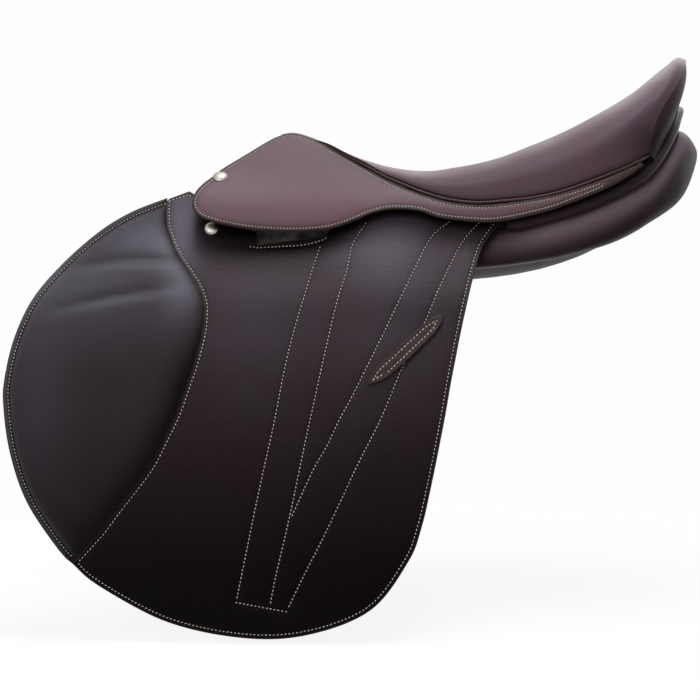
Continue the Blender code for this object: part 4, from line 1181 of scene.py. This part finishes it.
# %% Skirt
SKIRT_CROWN = ((-133, 124.7), (-128, 125.3), (-118, 124), (-110, 120.8), (-99, 114.6), (-90.5, 108.4),
               (-76, 98), (-62, 88.6), (-49, 80.2), (-36, 72.8), (-23, 66.8), (-8, 61), (10, 55.8),
               (35, 52.8), (58, 54.3), (82, 57.8), (104, 62.4), (135, 72.8), (158, 82.6), (168, 87.6),
               (172.5, 89))
SKIRT_BELOW = ((172.5, 89), (172.5, 86), (166, 80.6), (152, 71.6), (135, 63.2), (114, 54.6),
               (93, 47), (68, 41), (50, 38), (37, 37.5), (18, 39), (-1, 42), (-14, 47))
SKIRT_LOBE = ((-14, 47), (-28, 49), (-42, 48.8), (-56, 45.5), (-70, 39.4), (-86, 33.6), (-101, 30.8),
              (-127, 29.6), (-156, 31.4), (-176, 34.6), (-192, 38.6), (-202, 43), (-207.5, 50),
              (-208.5, 58), (-205.5, 66.2), (-200, 73.2))
SKIRT_NOSE = ((-200, 73.2), (-194, 78.6), (-184, 88.2), (-167, 101.2), (-152, 113.2), (-142, 120.4))
skirt_ring = smooth_ring((*SKIRT_CROWN, *SKIRT_BELOW[1:], *SKIRT_LOBE[1:], *SKIRT_NOSE[1:]), 3.0)
skirt_seam = moved_in(skirt_ring, 3.1)
tail = [i for i, spot in enumerate(skirt_seam) if spot.x > 138]
skirt_seam = skirt_seam[tail[-1] + 1:] + skirt_seam[:tail[0]]
near_skirt_seam = nearness(skirt_seam)
near_skirt_edge = nearness(skirt_ring)


def skirt_outer(x, z):
    groove = -0.65 * bell(near_skirt_seam(x, z), 1.4)
    return skirt_face(x, z) + groove + 0.35 * noise.noise(Vector((x / 70, 5.1, z / 50)))


# Painted light: paler patches low in the skirt's middle and near its nose.
def skirt_painted_light(x, z):
    return (0.85 * patch_of(x, z, (-118, 48), 58, 19) + 0.3 * patch_of(x, z, (-60, 60), 40, 14)
            + 0.45 * patch_of(x, z, (-186, 60), 28, 30))


# A dark band along the cut edge, which widens the dark edge paint, and painted shade in the needle holes along
# the seam.
def skirt_edge_and_shade(x, z):
    edge = 0.75 * bell(max(near_skirt_edge(x, z) - 1.9, 0), 0.5)
    return max(0.35 * bell(near_skirt_seam(x, z), 0.9), edge)


skirt_blank = cut_blank(skirt_ring, cell=5.0, inset=2.2, near=near_skirt_seam, reaches=(5.0, 2.6))
pair("skirt_leather", skirt_blank, skirt_outer, under(skirt_face, SHEET), skirt_leather,
     ["skirt", "skirt_head"], "seat_leather", hinge=SKIRT_HINGE, bloom=skirt_painted_light, oil=skirt_edge_and_shade)
thread_pair("skirt_thread", [(skirt_seam, skirt_outer, 2.7, 1.5, 0.85)], hinge=SKIRT_HINGE)

# %% [markdown]
# ## Nails
# The nail of the skirt and the stud of the flap are turned from one profile each, with a thin collar
# that casts a fine shadow on the leather.


# %% Nails
def turned(name, side, form, place, profile, finish, stands_for):
    """A turned head, square to a side form, from (radius, height) points."""
    x, z = place
    slope_x = (form(x + 1, z) - form(x - 1, z)) / 2
    slope_z = (form(x, z + 1) - form(x, z - 1)) / 2
    outward = Vector((-slope_x, side, -slope_z)).normalized()
    shape = bmesh.new()
    points = [shape.verts.new((radius, 0, height)) for radius, height in profile]
    line = [shape.edges.new(ends) for ends in zip(points, points[1:])]
    bmesh.ops.spin(shape, geom=points + line, cent=(0, 0, 0), axis=(0, 0, 1), angle=2 * math.pi,
                   steps=40, use_merge=True)
    bmesh.ops.remove_doubles(shape, verts=shape.verts, dist=0.001)
    bmesh.ops.rotate(shape, matrix=outward.to_track_quat("Z", "Y").to_matrix(), verts=shape.verts)
    bmesh.ops.translate(shape, vec=Vector((x, side * form(x, z), z)) + outward * 0.1, verts=shape.verts)
    piece(name, shape, finish, "tree", [stands_for], sharp=60)


NAIL = ((0, 2.1), (1.6, 2.05), (3.1, 1.85), (4.3, 1.55), (5.1, 1.15), (5.5, 0.7), (6.0, 0.55), (6.2, 0.3),
        (6.0, 0.0), (0, 0.0))
STUD = ((0, 2.9), (1.4, 2.85), (2.9, 2.7), (4.1, 2.4), (4.9, 2.0), (5.5, 1.4), (5.8, 0.8),
        (6.3, 0.4), (6.2, 0.0), (0, 0.0))
for side, word in SIDES:
    turned(f"{word}_nail_head", side, skirt_face, (-186, 79.3), NAIL, worn_nickel, f"{word}_skirt_nail")
    turned(f"{word}_stud_head", side, flap_face, (-193, 34), STUD, nickel, f"{word}_point_stud")

# %% [markdown]
# ## The panel and its roll
# The panel is two long cushions of wool or foam in soft leather. Each is a closed form whose section
# is a rounded box that changes along the saddle and shrinks to a round end. The leather is never
# quite smooth over wool, so a gentle noise moves it by about a millimetre.

# %% Panel
panel_in = curve((-212, 38), (-150, 34), (-60, 30), (163, 30), (211, 26), (240, 24))
panel_out = curve((-212, 74), (-165, 76), (-120, 80), (-90, 96), (-60, 106), (0, 109), (53, 113),
                  (107, 119), (150, 117), (193, 101), (211, 86), (230, 63), (240, 48))
panel_out_low = curve((-212, -34), (-150, -22), (-60, -12), (53, -6), (107, 0.5), (134, 7), (163, 18),
                      (193, 36), (211, 49), (230, 70), (240, 88))
panel_out_top = curve((-212, 16), (-60, 20), (53, 27), (107, 42), (163, 65), (193, 88), (211, 106),
                      (230, 121), (240, 122))
panel_in_low = curve((-212, 34), (-60, 26), (20, 22), (107, 32), (163, 46), (193, 60), (211, 71),
                     (230, 82), (240, 92))
panel_in_top = curve((-212, 60), (-150, 82), (-100, 89), (-60, 85.5), (0, 79.5), (53, 83.5),
                     (107, 98), (163, 119), (193, 131), (211, 137), (230, 136), (240, 126))
PANEL_FRONT, PANEL_REAR, PANEL_END = -210.0, 239.0, 26.0


def panel_at(side, column, row, up):
    length = PANEL_REAR - PANEL_FRONT
    x = PANEL_FRONT + length * (0.5 - 0.5 * math.cos(math.pi * column))
    near_end = min(x - PANEL_FRONT, PANEL_REAR - x)
    full = math.sqrt(1 - (1 - min(near_end / PANEL_END, 1)) ** 2) * 0.98 + 0.02
    square = 2.8 - 0.5 * clamp((x - 60) / 120)
    angle = math.pi * row
    ca, sa = math.cos(angle), math.sin(angle)
    a = math.copysign(abs(ca) ** (2 / square), ca)
    b = abs(sa) ** (2 / square) * (1 if up else -1)
    a = 0.5 + 0.5 * a * full
    b = 0.5 + 0.5 * b * full
    y = panel_in(x) + (panel_out(x) - panel_in(x)) * a
    low = panel_in_low(x) + (panel_out_low(x) - panel_in_low(x)) * a
    top = panel_in_top(x) + (panel_out_top(x) - panel_in_top(x)) * a
    point = Vector((x, side * y, low + (top - low) * b))
    middle = Vector((x, side * (panel_in(x) + panel_out(x)) / 2, (low + top) / 2))
    puff = 0.8 * noise.noise(point / 34) + 0.35 * noise.noise(point / 11)
    return point + (point - middle).normalized() * (puff - 0.6) * full


panel_crest = curve((30, 22), (80, 30), (108, 37), (131, 45), (165, 62), (192, 82), (207, 100), (222, 118),
                    (240, 124))

for side, word in SIDES:
    form = grid_form(even(0, 1, 120), even(0, 1, 36), lambda c, r: panel_at(side, c, r, True),
                     lambda c, r: panel_at(side, c, r, False))
    panel = piece(f"{word}_panel_cushion", form, panel_leather, "tree", [f"{word}_panel"],
                  180)
    # A painted highlight in a band just under the roll, and painted shade on the panel's lower part.
    mark(panel, "bloom", lambda x, z: 0.85 * bell(z - panel_crest(x), 12) * clamp((x - 30) / 60))
    mark(panel, "oil", lambda x, z: 0.93 * clamp((panel_crest(x) - 12 - z) / 24))

# %% [markdown]
# A thin stuffed roll runs round the back between the panel and the cantle. It is one cord.

# %% Roll
ROLL_ROUTE = ((226, 0, 150), (224.5, 24, 148), (219, 46, 141), (207.5, 74, 121), (191, 96, 95.5),
              (173, 107.5, 77.5), (145, 113, 62.5), (113, 116, 49.5), (81, 114, 40.5), (58, 111, 36))
roll_x = curve(*[(y, x) for x, y, z in ROLL_ROUTE[:5]])
roll_z = curve(*[(y, z) for x, y, z in ROLL_ROUTE[:5]])
mirrored = [(x, -y, z) for x, y, z in ROLL_ROUTE[:0:-1]]
route = smooth_run([*mirrored, *ROLL_ROUTE], step=4)


def roll_size(share):
    wave = 0.12 * math.sin(share * 61) + 0.08 * math.sin(share * 143)
    return (5.0 + wave) * min(1.0, 0.35 + min(share, 1 - share) * 40)


roll = piece("roll_cord", tube_shape(route, roll_size, 20), roll_leather, "tree", ["rear_roll"],
             60)

# %% [markdown]
# Behind the cantle a piece of soft leather closes the space between the seat's rear edge and the
# roll. It spans the two and is a little full in the middle.

# %% Rear facing
FACING_LEATHER = 2.5


def cantle_back(depth):
    def at(column, row):
        side = math.copysign(1, row)
        head = seat_point(1, row) - seat_normal(1, row) * 0.5
        out = abs(head.y) * 0.9
        slope = roll_z(out + 1) - roll_z(out)
        clear = Vector((0, -slope * side, 1)).normalized() * 5.2
        foot = Vector((roll_x(out) - 0.5, out * side, roll_z(out))) + clear
        facing = Vector((1, 0.009 * head.y, 0)).normalized()
        full = 3.4 * math.sin(math.pi * min(column * 1.15, 1.0)) * (1 - abs(row) ** 4)
        return head.lerp(foot, column) + facing * (full - 0.25 - depth)

    return at


form = grid_form(even(0, 1, 18), even(-0.99, 0.99, 90), cantle_back(0), cantle_back(FACING_LEATHER))
facing = piece("cantle_facing", form, facing_leather, "tree", ["cantle_back"], 60)


def roll_height(x):
    """How high the roll's middle lies where it passes x."""
    return 150 if x > 226 else 77 + (x - 173) * 1.38


# Painted shade on the facing's lower part, where it folds into the roll.
mark(facing, "oil", lambda x, z: 0.95 * bell(max(z - roll_height(x) - 8, 0), 20))

# %% [markdown]
# In front, a facing covers the head of the tree. It runs along the arch, and the curves below give
# its outer edge at each length along it.

# %% Front facing
FACING_LENGTH, ARCH_LENGTH, FACING_WIDE = 98.0, 160, 11.0
HEAD_ARCH = ((0, 114.2), (18, 113.2), (34, 107.6), (50, 96.4), (63, 83), (73, 72), (80, 60), (83.5, 48),
             (85.5, 30), (88, 5))
head_front = curve((0, -138), (20, -139), (50, -150), (90, -172), (125, -190), (160, -203))
facing_out = curve((0, 0), (20, 21), (38, 40), (50, 52), (64, 64), (78, 74), (90, 82), (100, 86))
facing_top = curve((0, 127.5), (12, 126.6), (20, 124.6), (38, 116.5), (50, 108.5), (64, 100.5),
                   (78, 92), (90, 82), (100, 72))
arch = smooth_run(HEAD_ARCH, 2)
arch_length = [0.0]
for a, b in zip(arch, arch[1:]):
    arch_length.append(arch_length[-1] + (b - a).length)


def head_facing(depth):
    def at(column, row):
        side = math.copysign(1, row)
        along = abs(row) * FACING_LENGTH
        i = min(bisect.bisect_left(arch_length, along * arch_length[-1] / ARCH_LENGTH), len(arch) - 2)
        ahead = arch[i + 1] - arch[max(i - 1, 0)] if i else Vector((1, 0))
        square = Vector((ahead.y, -ahead.x)).normalized()
        edge = arch[i] + (square if square.y < 0 else -square) * FACING_WIDE
        fall = max(0.0, 1 - arch_length[i] / 75)
        x = head_front(along)
        inner = Vector((x, side * edge.x, edge.y + (seat_line(x) - seat_line(-128)) * fall))
        outer = Vector((x, side * facing_out(along), facing_top(along)))
        point = inner.lerp(outer, column)
        point.x = x - 0.5 - FACING_LEATHER + depth
        if depth == 0:
            point.x -= 1.2 * math.sin(math.pi * column)
        return point

    return at


form = grid_form(even(0, 1, 12), even(-1, 1, 100), head_facing(0), head_facing(FACING_LEATHER))
piece("head_facing", form, inner_leather, "tree", ["pommel_facing"], 60)

# %% [markdown]
# ## Foam and cloth
# Under the hide there is a sheet of latex foam on linen webs, which are nailed to the tree. The webs
# carry the girth straps too. A patch of the same linen closes the window in the flap, under the bar.


# %% Foam and webs
def seat_layer(depth):
    return lambda u, v: tucked(seat_point(u, v) - seat_normal(u, v) * depth, v)


form = grid_form(even(0, 17 / 18, 60), even(-0.75, 0.75, 40), seat_layer(3.3), seat_layer(12.0))
foam = piece("foam_sheet", form, latex, "tree", ["seat_foam"], 60)

web_columns = even(2.75 / 18, 13 / 18 - 0.0015, 60)
form = grid_form(web_columns, even(-0.125, 0.125, 16), seat_layer(12.5), seat_layer(14.5))
web = piece("seat_webbing", form, linen, "tree", ["seat_web"], 60)

GIRTH_WEB = ((111.2, 0.9), (97.5, 20), (91.5, 36), (86, 52), (78, 61.5), (66, 66.8), (54, 68.9))
web_path = smooth_run(GIRTH_WEB, 2.5)


def girth_web_at(side, depth):
    def at(column, row):
        ahead = web_path[min(row + 1, len(web_path) - 1)] - web_path[max(row - 1, 0)]
        square = Vector((-ahead.y, ahead.x)).normalized() * depth
        point = web_path[row] + square
        return Vector((column, side * (point.x + flare(column)), point.y))

    return at


patch_face = under(flap_face, 4.5)
PATCH = ((-168, 18.2), (-84, 14.8), (-84, 34), (-168, 34))
patch_blank = cut_blank(even_ring(PATCH, 4), cell=4.0, inset=0.6)
rows = list(range(len(web_path)))
for side, word in SIDES:
    web = piece(f"{word}_girth_webbing",
                grid_form(even(-84, -42, 16), rows, girth_web_at(side, 0), girth_web_at(side, 2)),
                linen, "tree", [f"{word}_girth_web"], 60)
for patch in pair("bar_cloth", patch_blank, patch_face, under(patch_face, 2), linen, ["bar_patch"],
                  "webbing", sharp=60):
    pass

# %% [markdown]
# The end of each tree point sits in a leather pocket, sewn to the panel.

# %% Point pocket
POINT_POCKET = ((-208, 30), (-163, 30), (-165, 2), (-176, -12), (-195, -12), (-206, 2))
pocket_out = curve((30, 87.4), (5, 89.9), (-12, 91.5))
pocket_seam = shrunk(POINT_POCKET, 3.0)
near_pocket = nearness(pocket_seam)
pocket_blank = cut_blank(even_ring(POINT_POCKET, 4), cell=4.0, inset=1.0)


def pocket_face(x, z):
    return pocket_out(z) + 3.0 - 0.4 * bell(near_pocket(x, z), 1.3)


pair("pocket", pocket_blank, pocket_face, lambda x, z: pocket_out(z) + 0.5, inner_leather,
     ["point_pocket"], "soft_leather")
thread_pair("pocket_thread", [(pocket_seam, pocket_face, 4.0, 2.6)])

# %% [markdown]
# ## Under the flap
# A second, thinner flap lies against the horse. It carries two stuffed blocks, in front of the knee
# and behind the thigh, sewn down round their edges.

# %% Sweat flap and blocks
SWEAT_FLAP = ((-225, 1), (-270, -28), (-303, -76), (-312, -120), (-300, -165), (-270, -210),
              (-225, -243), (-160, -262), (-105, -258), (-70, -236), (-48, -198), (-36, -150),
              (-22, -90), (-6, -40), (18, 1))
KNEE_BLOCK = ((-233, -34), (-218, -24), (-204, -34), (-200, -70), (-206, -110), (-222, -148),
              (-240, -176), (-254, -172), (-248, -148), (-238, -110), (-236, -70))
THIGH_BLOCK = ((-13, -52), (-2, -46), (8, -58), (6, -90), (-1, -130), (-9, -140), (-15, -128),
               (-16, -90))
sweat_ring = smooth_run(SWEAT_FLAP, 6)
sweat_seam = beside(sweat_ring, 4.0)[1:-1]
near_sweat = nearness(sweat_seam)
sweat_blank = cut_blank(sweat_ring, cell=8.0, near=near_sweat, reaches=(6.0,))
sweat_face = under(flap_face, 19.0)


def sweat_outer(x, z):
    wave = 0.3 * noise.noise(Vector((x / 40, 4, z / 40)))
    return sweat_face(x, z) - 0.5 * bell(near_sweat(x, z), 1.6) + wave


pair("under_flap", sweat_blank, sweat_outer, under(sweat_face, 3), inner_leather, ["sweat_flap"],
     "soft_leather")
for kind, points in (("knee", KNEE_BLOCK), ("thigh", THIGH_BLOCK)):
    ring = smooth_ring(points, 4)
    depth_of = nearness([*ring, ring[0]])

    def block_outer(x, z):
        depth = depth_of(x, z)
        return sweat_face(x, z) + 3.0 + swell(depth, 9.8, 12.0) - 0.4 * bell(depth - 3.4, 1.4)

    for block in pair(f"{kind}_roll", cut_blank(ring, cell=4.0, inset=1.0), block_outer,
                      under(sweat_face, -0.5), pad_leather, [f"{kind}_block"], "soft_leather", sharp=60):
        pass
thread_pair("under_thread", [(sweat_seam, sweat_outer, 4.6, 3.0)])

# %% [markdown]
# Two girth straps hang on each side. Each is doubled leather with a row of punched holes, sewn
# together at its upper end. The holes are cut in the flat blank, like the outline.

# %% Girth straps
STRAP_CENTRES, STRAP_WIDTH = (-91.5, -53.5), 25.0
STRAP_STRAIGHT, STRAP_END = -75.0, -240.0
STRAP_BEHIND, STRAP_LEAN = 9.5, 1.1  # how far the straps lie under the flap's face, and lean out
HOLE_RADIUS, HOLE_PITCH = 2.1, 25


def strap_face(x, z):
    if z >= STRAP_STRAIGHT:
        lean = STRAP_LEAN * min(1.0, z / STRAP_STRAIGHT) if z < 0 else 0.0
        return flap_drop(z) - STRAP_BEHIND + lean + flare(x)
    slope = (flap_drop(STRAP_END) - flap_drop(STRAP_STRAIGHT)) / (STRAP_STRAIGHT - STRAP_END)
    return (flap_drop(STRAP_STRAIGHT) + slope * (STRAP_STRAIGHT - z) - STRAP_BEHIND + STRAP_LEAN
            + flare(x))


def strap_outer(x, z):
    return strap_face(x, z) - 0.04 * max(0.0, -195 - z)


for place, middle, tops in zip(("front", "rear"), STRAP_CENTRES, ((-4.6, -1.0), (-1.0, -4.6))):
    low, high = middle - STRAP_WIDTH / 2, middle + STRAP_WIDTH / 2
    top = ((low, tops[0]), (high, tops[1]))
    ring = even_ring((*top, (high, -226), (middle + 7, -235), (middle, -240), (middle - 7, -235),
                      (low, -226)), 4.0)
    seam = shrunk((*top, (high, STRAP_STRAIGHT), (low, STRAP_STRAIGHT)), 2.6)
    holes = [[Vector((middle + HOLE_RADIUS * math.cos(t), z + HOLE_RADIUS * math.sin(t)))
              for t in even(0, 2 * math.pi, 12)[:-1]] for z in range(-222, -84, HOLE_PITCH)]
    near_strap = nearness(seam)

    def strap_relief(x, z):
        return strap_outer(x, z) - 0.4 * bell(near_strap(x, z), 1.3)

    pair(f"{place}_strap", cut_blank(ring, holes, cell=4.0, inset=1.0), strap_relief,
         under(strap_face, 4), strap_leather, [f"{place}_girth_strap"], "flap_leather", "girth_straps")
    thread_pair(f"{place}_strap_thread", [(seam, strap_relief, 4.2, 2.8)], "girth_straps")


# %% [markdown]
# A guard slides down the straps and over the buckles so that they don't rub the flap. It is a flat
# sleeve of stiff leather: two rounded boxes, one inside the other, are bridged to a ring and drawn
# out along the straps.


# %% Buckle guard
def rounded_box(wide, deep, parts=48):
    """Points round a box with rounded corners, at even angles."""
    turns = [(math.cos(angle), math.sin(angle)) for angle in even(0, 2 * math.pi, parts)[:-1]]
    return [Vector((math.copysign(abs(ca) ** 0.35, ca) * wide, math.copysign(abs(sa) ** 0.7, sa) * deep))
            for ca, sa in turns]


GUARD_LOW, GUARD_LENGTH = -155.0, 55.0
GUARD_OUTSIDE, GUARD_INSIDE = (34.0, 4.5), (32.0, 2.5)
for side, word in SIDES:
    middle = sum(STRAP_CENTRES) / 2
    high = GUARD_LOW + GUARD_LENGTH
    top = Vector((middle, side * strap_face(middle, high), high))
    low = Vector((middle, side * strap_face(middle, GUARD_LOW), GUARD_LOW))
    down = (low - top).normalized()
    across = Vector((1, side * 0.05, 0)).normalized()
    outward = across.cross(down) * side
    centre = low - outward * 2
    shape = bmesh.new()
    rings = []
    for wide, deep in (GUARD_OUTSIDE, GUARD_INSIDE):
        ring = bmesh.ops.create_circle(shape, segments=48, radius=1.0)["verts"]
        for vert, spot in zip(ring, rounded_box(wide, deep)):
            vert.co = centre + across * spot.x + outward * spot.y
        rings += [edge for edge in shape.edges if edge.verts[0] in ring]
    bmesh.ops.bridge_loops(shape, edges=rings)
    moved = new_verts(bmesh.ops.extrude_face_region(shape, geom=shape.faces[:]))
    bmesh.ops.translate(shape, vec=-down * GUARD_LENGTH, verts=moved)
    corners = [edge for edge in shape.edges if edge.calc_face_angle(0) > 1.2]
    bmesh.ops.bevel(shape, geom=corners, offset=0.6, affect="EDGES", segments=2, profile=0.5, material=-1)
    piece(f"{word}_guard_sleeve", shape, strap_leather, f"{word}_buckle_guard", [f"{word}_buckle_guard"],
          50)

# %% [markdown]
# ## Looking at what is done
# The last lines measure the dressed saddle and print its box, as the first cell printed the CAD box.

# %% Sizes and finish
low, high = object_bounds()
print("visual box", [round(v, 4) for v in (*low, *high)])
